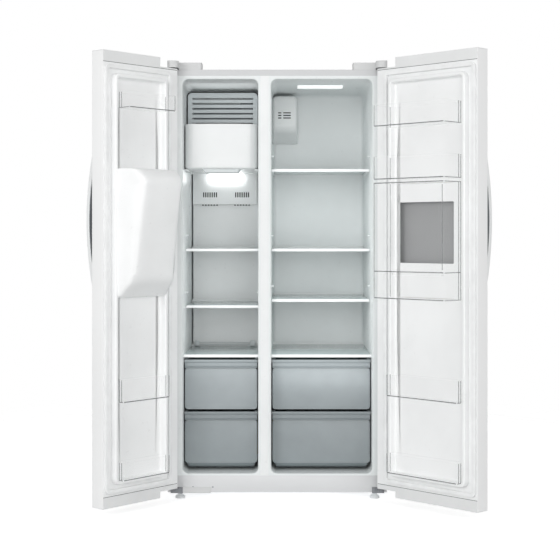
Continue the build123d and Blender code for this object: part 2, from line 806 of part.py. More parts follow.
# ---------------------------------------------------------------- machine bay
def make_compressor():
    """Hermetic compressor: domed can, foot plate, grommets, terminal box and two stubs."""
    y = BACK - BAY_DEPTH / 2
    seat = BASE_HEIGHT + PAN_SHEET
    foot_bottom = seat + GROMMET
    can = upright(
        COMPRESSOR_X, y, foot_bottom + PAN_SHEET, foot_bottom + COMPRESSOR_HEIGHT, COMPRESSOR_RADIUS
    )
    can = fillet(can.edges().group_by(Axis.Z)[-1], COMPRESSOR_RADIUS * 0.5)
    half = COMPRESSOR_RADIUS + COMPRESSOR_FOOT
    plate = block(
        COMPRESSOR_X - half,
        COMPRESSOR_X + half,
        y - half,
        y + half,
        foot_bottom,
        foot_bottom + PAN_SHEET,
    )
    plate = rounded(plate, Axis.Z, COMPRESSOR_FOOT_RADIUS)
    proud, half_box, box_bottom, box_top = TERMINAL_BOX
    box = block(
        COMPRESSOR_X - COMPRESSOR_RADIUS - proud,
        COMPRESSOR_X - COMPRESSOR_RADIUS / 2,
        y - half_box,
        y + half_box,
        foot_bottom + box_bottom,
        foot_bottom + box_top,
    )
    stub = lengthwise(
        COMPRESSOR_X, y + COMPRESSOR_RADIUS / 2, y + half, foot_bottom + STUB_HEIGHT, TUBE * 1.5
    )
    body = can + plate + box + stub
    grommets = []
    reach = half - GROMMET_INSET
    for sx in (-1, 1):
        for sy in (-1, 1):
            x_foot = COMPRESSOR_X + sx * reach
            y_foot = y + sy * reach
            grommets.append(upright(x_foot, y_foot, seat, foot_bottom, GROMMET_RADIUS))
    keep("compressor", body, *grommets)


def serpentine(points, radius):
    """A round tube along straight runs joined by half-turn bends."""
    path = FilletPolyline(*points, radius=COIL_PITCH * COIL_BEND)
    start = Plane(origin=path @ 0, z_dir=path % 0)
    return sweep(start * Circle(radius), path=path)


def make_condenser():
    """Condenser: a flat serpentine on two side brackets, standing in the machine bay."""
    y = BACK - BAY_DEPTH / 2
    low = BASE_HEIGHT + PAN_SHEET + COIL_PITCH
    x0 = COIL_X - COIL_SPAN / 2
    x1 = COIL_X + COIL_SPAN / 2
    points = []
    for run in range(COIL_RUNS):
        z = low + run * COIL_PITCH
        ends = (x0, x1) if run % 2 == 0 else (x1, x0)
        points.append((ends[0], y, z))
        points.append((ends[1], y, z))
    tube = serpentine(points, TUBE)
    top = low + (COIL_RUNS - 1) * COIL_PITCH + COIL_PITCH / 2
    brackets = []
    for x in (x0 + COIL_PITCH * 2, x1 - COIL_PITCH * 2):
        half = COIL_BRACKET / 2
        plate = block(x, x + PAN_SHEET, y - half, y + half, BASE_HEIGHT + PAN_SHEET, top)
        brackets.append(plate - tube)
    keep("condenser_coil", tube, *brackets)
    return top


def make_drain_pan(coil_top):
    """Evaporation tray resting on the condenser's brackets."""
    y = BACK - BAY_DEPTH / 2
    x0 = COIL_X - DRAIN_PAN_HALF
    x1 = COIL_X + DRAIN_PAN_HALF
    half = BAY_DEPTH / 2 - DRAIN_PAN_MARGIN
    height = BAY_HEIGHT - coil_top - DRAIN_PAN_HEADROOM
    tray = block(x0, x1, y - half, y + half, coil_top, coil_top + height)
    tray = rounded(tray, Axis.Z, DRAIN_PAN_RADIUS)
    tray -= block(
        x0 + DRAWER_WALL,
        x1 - DRAWER_WALL,
        y - half + DRAWER_WALL,
        y + half - DRAWER_WALL,
        coil_top + DRAWER_WALL,
        coil_top + height,
    )
    keep("drain_pan", tray)


def make_machine_cover():
    """Vented rear cover with the water inlet and the power gland on it."""
    x = HALF_WIDTH - SHEET
    low = BASE_HEIGHT + PAN_RIM
    cover = block(-x, x, BACK - SHEET, BACK, low, BAY_HEIGHT)
    slot_width, slot_height = COVER_VENT
    for row in range(COVER_VENT_ROWS):
        z = low + COVER_VENT_START[1] + row * COVER_VENT_PITCH[1]
        for column in range(COVER_VENT_COLUMNS):
            x_slot = COVER_VENT_START[0] + column * COVER_VENT_PITCH[0]
            cover -= block(x_slot, x_slot + slot_width, BACK - SHEET, BACK, z, z + slot_height)
    inlet_x = HALF_WIDTH - FITTING_INSET
    inlet_z = BAY_HEIGHT - FITTING_DROP
    collar_end = BACK + INLET_COLLAR
    spigot_end = collar_end + INLET_LENGTH
    inlet = lengthwise(inlet_x, BACK, collar_end, inlet_z, INLET_RADIUS + INLET_WALL)
    inlet += lengthwise(inlet_x, BACK - INLET_TAIL, spigot_end, inlet_z, INLET_RADIUS)
    inlet -= lengthwise(
        inlet_x, BACK - INLET_BLIND, spigot_end, inlet_z, INLET_RADIUS - INLET_WALL
    )
    gland_z = low + FITTING_DROP
    gland_ends = (BACK - GLAND_LENGTH / 2, BACK + GLAND_LENGTH / 2)
    gland_outer = GLAND_BORE + GLAND_WALL
    gland = lengthwise(inlet_x, BACK, gland_ends[1], gland_z, GLAND_BORE + GLAND_FLANGE)
    gland += lengthwise(inlet_x, *gland_ends, gland_z, gland_outer)
    gland -= lengthwise(inlet_x, *gland_ends, gland_z, GLAND_BORE)
    cover = cover - lengthwise(inlet_x, BACK - SHEET, BACK, inlet_z, INLET_RADIUS)
    cover = cover - lengthwise(inlet_x, BACK - SHEET, BACK, gland_z, gland_outer)
    keep("machine_cover", cover, inlet, gland)


# ---------------------------------------------------------------- freezer cold side
def make_evaporator():
    """Finned evaporator on the freezer's back wall."""
    y0 = INNER_BACK - EVAPORATOR_DEPTH
    y1 = INNER_BACK
    span = (FIN_COUNT - 1) * FIN_PITCH
    x0 = FREEZER_MID - span / 2
    top = EVAPORATOR_BOTTOM + EVAPORATOR_HEIGHT
    coil = None
    for fin in range(FIN_COUNT):
        x = x0 + fin * FIN_PITCH
        plate = block(x - FIN_THICK / 2, x + FIN_THICK / 2, y0, y1, EVAPORATOR_BOTTOM, top)
        coil = plate if coil is None else coil + plate
    tube_ends = (x0 - EVAPORATOR_OVERHANG, x0 + span + EVAPORATOR_OVERHANG)
    for row in range(EVAPORATOR_ROWS):
        z = EVAPORATOR_BOTTOM + EVAPORATOR_HEIGHT * (row + 0.5) / EVAPORATOR_ROWS
        coil += crosswise(*tube_ends, (y0 + y1) / 2, z, EVAPORATOR_TUBE)
    keep("evaporator", coil)


def make_fan():
    """Freezer fan: motor on a bracket behind the duct panel, and its blade."""
    motor_y = INNER_BACK - FAN_MOTOR_LENGTH
    motor = lengthwise(FREEZER_MID, motor_y, INNER_BACK, FAN_HEIGHT, FAN_MOTOR_RADIUS)
    shaft = lengthwise(
        FREEZER_MID, motor_y - FAN_SHAFT_LENGTH, motor_y, FAN_HEIGHT, FAN_SHAFT_RADIUS
    )
    bracket = block(
        FREEZER_MID - FAN_BRACKET_HALF,
        FREEZER_MID + FAN_BRACKET_HALF,
        INNER_BACK - PAN_SHEET,
        INNER_BACK,
        FAN_HEIGHT - FAN_BRACKET_HEIGHT / 2,
        FAN_HEIGHT + FAN_BRACKET_HEIGHT / 2,
    )
    keep("fan_motor", motor + shaft + bracket)
    hub_back = motor_y - FAN_HUB_GAP
    hub_front = hub_back - FAN_HUB_LENGTH
    fan = lengthwise(FREEZER_MID, hub_front, hub_back, FAN_HEIGHT, FAN_HUB_RADIUS)
    root = FAN_HUB_RADIUS * 0.6
    blade = Pos((root + FAN_RADIUS) / 2, 0, 0) * Rot(FAN_BLADE_TWIST, 0, 0) * Box(
        FAN_RADIUS - root, FAN_BLADE_THICK, FAN_BLADE_CHORD
    )
    middle = Pos(FREEZER_MID, (hub_front + hub_back) / 2, FAN_HEIGHT)
    for index in range(FAN_BLADES):
        fan += middle * Rot(0, index * 360 / FAN_BLADES, 0) * blade
    bore = FAN_SHAFT_RADIUS + RUNNING_CLEARANCE
    fan -= lengthwise(FREEZER_MID, hub_front, hub_back, FAN_HEIGHT, bore)
    keep("fan_blade", fan)


def make_duct_panel():
    """Freezer rear panel over the evaporator, with a raised fan housing and air slots."""
    x0 = FREEZER_X[0] + DUCT_SIDE_GAP
    x1 = FREEZER_X[1] - DUCT_SIDE_GAP
    wall = DRAWER_WALL
    panel = block(x0, x1, DUCT_Y, DUCT_Y + wall, STEP_TOP, FAN_HOUSING_TOP)
    for x in (x0, x1 - wall):
        panel += block(x, x + wall, DUCT_Y, INNER_BACK, STEP_TOP, FAN_HOUSING_TOP)
    panel += block(x0, x1, DUCT_Y, INNER_BACK, FAN_HOUSING_TOP - wall, FAN_HOUSING_TOP)
    front = DUCT_Y - FAN_HOUSING_DEPTH
    housing_end = x1 - FAN_HOUSING_INSET
    housing = block(x0, housing_end, front, DUCT_Y + wall, FAN_HOUSING_BOTTOM, FAN_HOUSING_TOP)
    housing -= block(
        x0 + wall,
        housing_end - wall,
        front + wall,
        DUCT_Y + wall,
        FAN_HOUSING_BOTTOM + wall,
        FAN_HOUSING_TOP - wall,
    )
    panel += housing
    span = (VENT_COUNT - 1) * VENT_PITCH
    for side in (-1, 1):
        middle = FREEZER_MID + side * VENT_SPREAD
        for index in range(VENT_COUNT):
            x = middle - span / 2 + index * VENT_PITCH
            panel -= block(
                x - VENT_SLOT / 2,
                x + VENT_SLOT / 2,
                front,
                front + wall,
                VENT_TOP - VENT_HEIGHT,
                VENT_TOP,
            )
    for row in range(RETURN_SLOTS):
        z = STEP_TOP + RETURN_SLOT_START + row * RETURN_SLOT_PITCH
        panel -= block(
            FREEZER_MID - RETURN_SLOT_HALF,
            FREEZER_MID + RETURN_SLOT_HALF,
            DUCT_Y,
            DUCT_Y + wall,
            z,
            z + RETURN_SLOT_HEIGHT,
        )
    keep("freezer_duct_panel", panel)


def make_ice_maker():
    """Ice maker: mould and drive box on an arm from the fan housing."""
    y0 = FRONT + GRILLE_RECESS + MAKER_SET_BACK
    y1 = y0 + MAKER_DEPTH
    x0 = FREEZER_X[0] + MAKER_SIDE
    x1 = FREEZER_X[1] - MAKER_SIDE
    z0 = GRILLE_BOTTOM + MAKER_SET_BACK
    z1 = z0 + MAKER_HEIGHT
    mould_end = x1 - MAKER_DRIVE
    mould = rounded(block(x0, mould_end, y0, y1, z0, z1), Axis.X, MAKER_RADIUS)
    pitch = (mould_end - x0 - 2 * MAKER_POCKET_WALL) / MAKER_POCKETS
    for index in range(MAKER_POCKETS):
        start = x0 + MAKER_POCKET_WALL + index * pitch
        mould -= block(
            start + MAKER_POCKET_WALL / 2,
            start + pitch - MAKER_POCKET_WALL / 2,
            y0 + MAKER_RIM,
            y1 - MAKER_RIM,
            z0 + MAKER_POCKET_FLOOR,
            z1,
        )
    proud = MAKER_DRIVE_PROUD
    drive = block(mould_end, x1, y0 - proud, y1 + proud, z0 - proud, z1 + MAKER_DRIVE_RISE)
    arm_x = x1 - MAKER_DRIVE / 2 - MAKER_ARM / 2
    housing_front = DUCT_Y - FAN_HOUSING_DEPTH
    arm = block(arm_x, arm_x + MAKER_ARM, y1, housing_front, z0, z0 + MAKER_ARM)
    keep("ice_maker", mould + drive + arm)
    keep("ice_maker_grille", ice_grille())


def ice_grille():
    """Slotted cover round the ice maker, open below and behind, on lugs from the liner's sides."""
    x0 = FREEZER_X[0] + GRILLE_SIDE
    x1 = FREEZER_X[1] - GRILLE_SIDE
    w = GRILLE_WALL
    front = FRONT + GRILLE_RECESS
    back = front + GRILLE_DEPTH
    cover = block(x0, x1, front, back, GRILLE_BOTTOM, GRILLE_TOP)
    cover = fillet(cover.edges().filter_by(Axis.Y).group_by(Axis.Z)[-1], GRILLE_RADIUS)
    room = block(x0 + w, x1 - w, front + w, back, GRILLE_BOTTOM, GRILLE_TOP - w)
    room = fillet(room.edges().filter_by(Axis.Y).group_by(Axis.Z)[-1], GRILLE_RADIUS - w)
    cover -= room
    slot_x = (x0 + GRILLE_SLOT_SIDE, x1 - GRILLE_SLOT_SIDE)
    for index in range(GRILLE_SLOTS):
        z = GRILLE_TOP - GRILLE_SLOT_TOP - index * GRILLE_PITCH
        cover -= block(*slot_x, front, front + w, z - GRILLE_SLOT, z)
    lug_back = back - 2 * w
    lug_z = GRILLE_TOP - GRILLE_LUG_DROP
    for start, end in ((FREEZER_X[0], x0 + w), (x1 - w, FREEZER_X[1])):
        cover += block(start, end, lug_back - GRILLE_LUG_DEPTH, lug_back, lug_z, lug_z + GRILLE_LUG)
    return cover


def bucket_outline(x0, x1, y0, y1):
    """Plan of the ice bucket: a bowed front and square back."""
    bow = BUCKET_BOW
    front_arc = ThreePointArc((x0, y0 + bow), ((x0 + x1) / 2, y0), (x1, y0 + bow))
    sides = Polyline((x1, y0 + bow), (x1, y1), (x0, y1), (x0, y0 + bow))
    return make_face(front_arc + sides)


def make_ice_bucket():
    """Pull-out ice bucket with a bowed front and a chute under it, and its auger."""
    x0 = FREEZER_X[0] + BUCKET_SIDE
    x1 = FREEZER_X[1] - BUCKET_SIDE
    y0 = FRONT + BUCKET_RECESS
    y1 = y0 + BUCKET_DEPTH
    w = BUCKET_WALL
    outer = extrude(bucket_outline(x0, x1, y0, y1), amount=BUCKET_RIM - BUCKET_FLOOR, dir=(0, 0, 1))
    inner = extrude(
        bucket_outline(x0 + w, x1 - w, y0 + w, y1 - w),
        amount=BUCKET_RIM - BUCKET_FLOOR,
        dir=(0, 0, 1),
    )
    bucket = Pos(0, 0, BUCKET_FLOOR) * outer - Pos(0, 0, BUCKET_FLOOR + w) * inner
    half_top = CHUTE_WIDTH / 2
    half_low = half_top - CHUTE_TAPER
    front = y0 + BUCKET_BOW + CHUTE_SET_BACK
    chute_points = [
        (FREEZER_MID - half_low, BUCKET_FLOOR - CHUTE_DROP),
        (FREEZER_MID + half_low, BUCKET_FLOOR - CHUTE_DROP),
        (FREEZER_MID + half_top, BUCKET_FLOOR),
        (FREEZER_MID - half_top, BUCKET_FLOOR),
    ]
    chute = prism_xz(chute_points, front, front + CHUTE_DEPTH)
    throat = block(
        FREEZER_MID - half_low + CHUTE_WALL,
        FREEZER_MID + half_low - CHUTE_WALL,
        front + w,
        front + CHUTE_DEPTH - w,
        BUCKET_FLOOR - CHUTE_DROP,
        BUCKET_FLOOR + w,
    )
    rear_bore = lengthwise(
        FREEZER_MID, y1 - w, y1, AUGER_HEIGHT, AUGER_ROD + RUNNING_CLEARANCE
    )
    keep("ice_bucket", bucket + chute - throat - rear_bore)
    disc_front = y1 + AUGER_DISC_GAP
    disc_back = disc_front + AUGER_DISC
    auger = lengthwise(FREEZER_MID, y0 + AUGER_START, disc_back, AUGER_HEIGHT, AUGER_ROD)
    width, thick = AUGER_PADDLE
    paddle = Pos(0, 0, AUGER_RADIUS / 2) * Rot(0, 0, AUGER_PADDLE_SKEW) * Box(
        width, thick, AUGER_RADIUS
    )
    for index in range(AUGER_PADDLES):
        y = y0 + AUGER_PADDLE_START + AUGER_PADDLE_SPAN * index / (AUGER_PADDLES - 1)
        auger += Pos(FREEZER_MID, y, AUGER_HEIGHT) * Rot(0, index * AUGER_TURN, 0) * paddle
    auger += lengthwise(FREEZER_MID, disc_front, disc_back, AUGER_HEIGHT, AUGER_DISC_RADIUS)
    keep("ice_auger", auger)


def make_lamps():
    """Clear lamp covers: one under the ice bucket, one in the fridge ceiling."""
    front = DUCT_Y - FAN_HOUSING_DEPTH - FREEZER_LAMP_DEPTH
    half = FREEZER_LAMP_WIDTH / 2
    freezer = block(
        FREEZER_MID - half,
        FREEZER_MID + half,
        front,
        front + FREEZER_LAMP_DEPTH,
        FREEZER_LAMP_TOP - FREEZER_LAMP_HEIGHT,
        FREEZER_LAMP_TOP,
    )
    freezer = rounded(freezer, Axis.Y, FREEZER_LAMP_RADIUS)
    y0 = FRONT + LAMP_RECESS
    half = LAMP_WIDTH / 2
    fridge = block(
        FRIDGE_MID - half,
        FRIDGE_MID + half,
        y0,
        y0 + LAMP_DEPTH,
        CEILING_HEIGHT - LAMP_DROP,
        CEILING_HEIGHT,
    )
    fridge = rounded(fridge, Axis.Z, LAMP_RADIUS)
    keep("lamp_covers", freezer, fridge)


def make_air_duct():
    """Fresh-food air duct: a tower in the upper corner with slots and a slanted foot."""
    x0 = FRIDGE_X[0]
    x1 = x0 + AIR_DUCT_WIDTH
    y0 = INNER_BACK - AIR_DUCT_DEPTH
    points = [
        (y0, AIR_DUCT_KNEE),
        (y0, AIR_DUCT_TOP),
        (INNER_BACK, AIR_DUCT_TOP),
        (INNER_BACK, AIR_DUCT_BOTTOM),
        (INNER_BACK - AIR_DUCT_FOOT, AIR_DUCT_BOTTOM),
    ]
    tower = prism_yz(points, x0, x1)
    w = DRAWER_WALL
    room_points = [
        (y0 + w, AIR_DUCT_KNEE + w),
        (y0 + w, AIR_DUCT_TOP - w),
        (INNER_BACK, AIR_DUCT_TOP - w),
        (INNER_BACK, AIR_DUCT_BOTTOM + w),
        (INNER_BACK - AIR_DUCT_FOOT + w, AIR_DUCT_BOTTOM + w),
    ]
    tower -= prism_yz(room_points, x0 + w, x1 - w)
    for row in range(AIR_SLOT_ROWS):
        z = AIR_DUCT_TOP - AIR_SLOT_TOP - row * AIR_SLOT_PITCH
        for start, width in AIR_SLOT_COLUMNS:
            tower -= block(x0 + start, x0 + start + width, y0, y0 + w, z, z + AIR_SLOT_HEIGHT)
    keep("fridge_air_duct", tower)


# ---------------------------------------------------------------- shelves and drawers
def glass_shelf(x0, x1, front, back, top):
    """A glass plate with a moulded front trim and rear trim."""
    plate = block(x0, x1, front + TRIM_DEPTH / 2, back - TRIM_DEPTH / 4, top - GLASS, top)
    nose = block(x0, x1, front, front + TRIM_DEPTH, top - TRIM_HEIGHT + TRIM_RISE, top + TRIM_RISE)
    nose = rounded(nose, Axis.X, TRIM_RADIUS)
    tail = block(x0, x1, back - TRIM_DEPTH / 2, back, top - GLASS, top + SHELF_TAIL_RISE)
    return [plate, nose - plate, tail - plate]


def make_shelves(prefix, x0, x1, tops, recess):
    """Pull-out glass shelves of one compartment, from the top down."""
    for index, top in enumerate(tops, start=1):
        solids = glass_shelf(
            x0 + SIDE_CLEARANCE,
            x1 - SIDE_CLEARANCE,
            FRONT + recess,
            shelf_back(x0),
            top,
        )
        keep(f"{prefix}_{index}", *solids)


def shelf_back(x0):
    """Where a shelf ends: before the duct panel in the freezer, at the liner in the fridge."""
    if x0 == FREEZER_X[0]:
        return DUCT_Y - SHELF_REAR_GAP
    return INNER_BACK - SHELF_REAR_GAP


def make_covers():
    """Fixed glass shelves above the drawers, resting on their ledges."""
    for name, (x0, x1) in (("freezer_drawer_cover", FREEZER_X), ("crisper_cover", FRIDGE_X)):
        back = shelf_back(x0)
        solids = glass_shelf(
            x0 + SEAT_GAP, x1 - SEAT_GAP, FRONT + COVER_RECESS, back, COVER_TOP
        )
        keep(name, *solids)


def make_drawer(name, x0, x1, rim, floor):
    """An open drawer hung by its rim, with a hooded grip along the top of its front."""
    front = FRONT + DRAWER_RECESS
    back = drawer_back(x0, rim)
    body_x0 = x0 + DRAWER_SIDE
    body_x1 = x1 - DRAWER_SIDE
    w = DRAWER_WALL
    body = block(body_x0, body_x1, front, back, floor, rim)
    body = fillet(body.edges().filter_by(Axis.Y).group_by(Axis.Z)[0], DRAWER_RADIUS)
    body -= block(body_x0 + w, body_x1 - w, front + w, back - w, floor + w, rim)
    face = block(x0 + RIM_SIDE, x1 - RIM_SIDE, front - w, front, floor, rim - LIP_HEIGHT)
    face = fillet(face.edges().filter_by(Axis.Y).group_by(Axis.Z)[0], DRAWER_RADIUS)
    lip = block(x0 + RIM_SIDE, x1 - RIM_SIDE, front - LIP_DEPTH, front, rim - LIP_HEIGHT, rim)
    lip = fillet(lip.edges().filter_by(Axis.X).group_by(Axis.Y)[0], LIP_RADIUS)
    lip -= block(
        body_x0 + GRIP_SIDE,
        body_x1 - GRIP_SIDE,
        front - LIP_DEPTH + w,
        front - w,
        rim - LIP_HEIGHT,
        rim - w - RIM_THICK,
    )
    drawer = body + face + lip
    for side_x0, side_x1 in ((x0 + RIM_SIDE, body_x0 + w), (body_x1 - w, x1 - RIM_SIDE)):
        drawer += block(side_x0, side_x1, front, back, rim - RIM_THICK, rim)
    keep(name, drawer)


# ---------------------------------------------------------------- hinges
def make_hinges():
    """Upper and lower hinge plates with their pins, and the covers over them."""
    plate_z0 = CABINET_TOP
    plate_z1 = plate_z0 + HINGE_PLATE
    x_in = HINGE_X - TOP_PLATE_REACH
    bar_front = FRONT + COVER_WALL + SIDE_CLEARANCE
    x_out = -HINGE_X - HINGE_NOSE
    bar = block(x_out, -x_in, bar_front, FRONT + TOP_PLATE_BACK, plate_z0, plate_z1)
    arm = block(x_out, -HINGE_X + 3 * HINGE_NOSE, HINGE_Y, bar_front, plate_z0, plate_z1)
    nose = upright(-HINGE_X, HINGE_Y, plate_z0, plate_z1, HINGE_NOSE)
    pin = upright(-HINGE_X, HINGE_Y, plate_z0 - PIN_LENGTH, plate_z1, PIN_RADIUS)
    upper = bar + arm + nose + pin
    ear_z1 = LOWER_EAR_TOP
    ear_z0 = ear_z1 - LOWER_EAR
    half = LOWER_BRACKET_WIDTH / 2
    mid = -HALF_WIDTH + LOWER_BRACKET_SIDE + half
    flange = block(
        mid - half,
        mid + half,
        FRONT - HINGE_PLATE,
        FRONT,
        BASE_HEIGHT - LOWER_BRACKET_DROP,
        ear_z1,
    )
    ear = block(x_out, -HINGE_X + 3 * HINGE_NOSE, HINGE_Y, FRONT, ear_z0, ear_z1)
    tip = upright(-HINGE_X, HINGE_Y, ear_z0, ear_z1, HINGE_NOSE)
    lower_pin = upright(-HINGE_X, HINGE_Y, ear_z0, ear_z1 + PIN_LENGTH, PIN_RADIUS)
    lower = flange + ear + tip + lower_pin
    keep("door_hinges", upper, mirrored(upper), lower, mirrored(lower))
    return mid + half


def cover_form(inset, floor, top):
    """Plan of the left upper hinge cover, raised: a box with a neck and a round nose."""
    x0 = -HALF_WIDTH + COVER_SIDE + inset
    x1 = -HALF_WIDTH + COVER_SIDE + COVER_LENGTH - inset
    neck_end = -HINGE_X + COVER_NECK - inset
    main = block(x0, x1, FRONT + inset, FRONT + COVER_BACK - inset, floor, top)
    main = rounded(main, Axis.Z, COVER_CORNER - inset)
    neck = block(x0, neck_end, HINGE_Y, FRONT + 2 * COVER_CORNER, floor, top)
    disc = upright(
        -HINGE_X + COVER_NOSE_OFFSET, HINGE_Y, floor, top, COVER_NOSE_RADIUS - inset
    )
    tip = disc & block(x0, neck_end, HINGE_Y - COVER_NOSE_RADIUS, HINGE_Y, floor, top)
    return main + neck + tip


def upper_hinge_cover():
    """Cover over the left upper hinge, lifted clear of the door's notch, with a side tab."""
    z0 = CABINET_TOP
    z1 = z0 + COVER_HEIGHT
    x0 = -HALF_WIDTH + COVER_SIDE
    x1 = x0 + COVER_LENGTH
    shell = cover_form(0.0, z0, z1) - cover_form(COVER_WALL, z0, z1 - COVER_WALL)
    over_door = block(
        x0, x1, HINGE_Y - COVER_NOSE_RADIUS, FRONT, z0, TOP_NOTCH_Z + COVER_GAP
    )
    tab_y = FRONT + COVER_BACK / 2
    tab = block(
        x1,
        x1 + COVER_TAB,
        tab_y - COVER_TAB_WIDTH / 2,
        tab_y + COVER_TAB_WIDTH / 2,
        z0,
        z0 + COVER_TAB_THICK,
    )
    return shell - over_door + tab


def make_hinge_covers(bracket_end):
    """Upper covers on both sides and the long cover beside the lower left hinge."""
    left = upper_hinge_cover()
    x0 = bracket_end
    x1 = -HALF_WIDTH + LOWER_COVER_LENGTH
    z1 = BOTTOM_NOTCH_Z - LOWER_EAR_GAP
    low = block(
        x0, x1, FRONT - LOWER_COVER_THICK, FRONT, BASE_HEIGHT - LOWER_BRACKET_DROP, z1
    )
    low = fillet(low.edges().filter_by(Axis.Y).group_by(Axis.X)[-1], LOWER_COVER_RADIUS)
    keep("hinge_covers", left, mirrored(left), low)


# ---------------------------------------------------------------- doors, common parts
def door_slab(door, n0, n1, z0, z1, inset):
    """A slice of the door's body, rounded at its two outer upright corners."""
    slab = block(door.edge + inset, door.reach - inset, n0, n1, z0, z1)
    outer_corners = slab.edges().filter_by(Axis.Z).group_by(Axis.Y)[0]
    return fillet(outer_corners, DOOR_EDGE_RADIUS - inset)


def door_skin(door, windows):
    """Steel outer skin: the face and its two side returns."""
    z0 = DOOR_BOTTOM + CAP_LIP
    z1 = DOOR_TOP - CAP_LIP
    skin = door_slab(door, -DOOR_OUTER, DOOR_INNER, z0, z1, 0.0)
    skin -= door_slab(door, -DOOR_OUTER + SHEET, DOOR_INNER, z0, z1, SHEET)
    skin -= block(
        door.edge, door.edge + NOTCH_LENGTH, -DOOR_OUTER, DOOR_INNER, TOP_NOTCH_Z, DOOR_TOP
    )
    skin -= block(
        door.edge, door.edge + NOTCH_LENGTH, -DOOR_OUTER, DOOR_INNER, DOOR_BOTTOM, BOTTOM_NOTCH_Z
    )
    for s0, s1, w0, w1 in windows:
        skin -= block(s0, s1, -DOOR_OUTER - CUT, 0, w0, w1)
    return skin


def door_caps(door):
    """Top and bottom end caps with their hinge notches and pin bores."""
    caps = []
    notch_end = door.edge + NOTCH_LENGTH
    for body_z, lip_z, notch_z, boss_z, bore_z in (
        (
            (DOOR_TOP - TOP_CAP, DOOR_TOP),
            (DOOR_TOP - CAP_LIP, DOOR_TOP),
            (TOP_NOTCH_Z, DOOR_TOP),
            (TOP_BORE_END - BOSS_FLOOR, DOOR_TOP - TOP_CAP),
            (TOP_BORE_END, TOP_NOTCH_Z),
        ),
        (
            (DOOR_BOTTOM, DOOR_BOTTOM + BOTTOM_CAP),
            (DOOR_BOTTOM, DOOR_BOTTOM + CAP_LIP),
            (DOOR_BOTTOM, BOTTOM_NOTCH_Z),
            (DOOR_BOTTOM + BOTTOM_CAP, BOTTOM_BORE_END + BOSS_FLOOR),
            (BOTTOM_NOTCH_Z, BOTTOM_BORE_END),
        ),
    ):
        cap = door_slab(door, -DOOR_OUTER + SHEET, DOOR_INNER, *body_z, SHEET)
        cap += door_slab(door, -DOOR_OUTER, DOOR_INNER, *lip_z, 0.0)
        cap -= block(door.edge, notch_end, -DOOR_OUTER, DOOR_INNER, *notch_z)
        cap += upright(0, 0, *boss_z, BORE_BOSS)
        cap -= upright(0, 0, *bore_z, PIN_RADIUS + RUNNING_CLEARANCE)
        caps.append(place_on_door(door, cap))
    return caps


def door_foam(door, windows):
    """Insulation between the skin and the liner."""
    z0 = DOOR_BOTTOM + BOTTOM_CAP
    z1 = DOOR_TOP - TOP_CAP
    foam = door_slab(door, -DOOR_OUTER + SHEET, DOOR_INNER - DOOR_LINER, z0, z1, SHEET)
    foam -= upright(0, 0, TOP_BORE_END - BOSS_FLOOR, z1, BORE_BOSS)
    foam -= upright(0, 0, z0, BOTTOM_BORE_END + BOSS_FLOOR, BORE_BOSS)
    for s0, s1, w0, w1 in windows:
        foam -= block(s0, s1, -DOOR_OUTER, DOOR_INNER, w0, w1)
    return foam


def dike_ring(door):
    """The raised ridge around the door's storage bay."""
    outer = block(door.dike_start, door.dike_end, DOOR_INNER, DIKE_N, DIKE_BOTTOM, DIKE_TOP)
    outer = rounded(outer, Axis.Y, DIKE_CORNER)
    outer = fillet(outer.edges().group_by(Axis.Y)[-1], DIKE_RADIUS)
    inner = block(
        door.bay_start,
        door.bay_end,
        DOOR_INNER,
        DIKE_N,
        DIKE_BOTTOM + DIKE_WIDTH,
        DIKE_TOP - DIKE_WIDTH,
    )
    return outer - inner


def door_liner(door):
    """Flat liner plate with its dike ring."""
    plate = block(
        door.edge + SHEET,
        door.reach - SHEET,
        DOOR_INNER - DOOR_LINER,
        DOOR_INNER,
        DOOR_BOTTOM + BOTTOM_CAP,
        DOOR_TOP - TOP_CAP,
    )
    return plate + dike_ring(door)


def door_gasket(door):
    """Magnetic gasket ring that meets the cabinet's front when the door is shut."""
    n1 = CABINET_N - GASKET_CLEARANCE
    s0 = door.mouth_start - GASKET_SET_BACK
    s1 = door.mouth_end + GASKET_SET_BACK
    z0 = FLOOR_HEIGHT - GASKET_SET_BACK
    z1 = CEILING_HEIGHT + GASKET_SET_BACK
    w = GASKET_WIDTH
    ring = block(s0 - w, s1 + w, DOOR_INNER, n1, z0 - w, z1 + w)
    return ring - block(s0, s1, DOOR_INNER, n1, z0, z1)


def door_handle(door):
    """A long bowed bar with a finger gap behind it, standing on two feet."""
    mid = (HANDLE_BOTTOM + HANDLE_TOP) / 2
    face = -DOOR_OUTER
    out = face - HANDLE_STAND_OFF
    s1 = door.reach - HANDLE_INBOARD
    s0 = s1 - HANDLE_WIDTH
    toe = face - HANDLE_END
    outer = ThreePointArc((toe, HANDLE_BOTTOM), (out, mid), (toe, HANDLE_TOP))
    ends = Polyline((toe, HANDLE_TOP), (face, HANDLE_TOP), (face, HANDLE_BOTTOM), (toe, HANDLE_BOTTOM))
    outer_face = make_face(outer + ends)
    low = HANDLE_BOTTOM + HANDLE_FOOT
    high = HANDLE_TOP - HANDLE_FOOT
    inner = ThreePointArc((face, low), (out + HANDLE_THICK, mid), (face, high))
    inner_face = make_face(inner + Line((face, high), (face, low)))
    crescent = Plane.YZ * (outer_face - inner_face)
    bar = Pos(s0, 0, 0) * extrude(crescent, amount=s1 - s0, dir=(1, 0, 0))
    return fillet(bar.edges().filter_by(GeomType.CIRCLE), HANDLE_RADIUS)


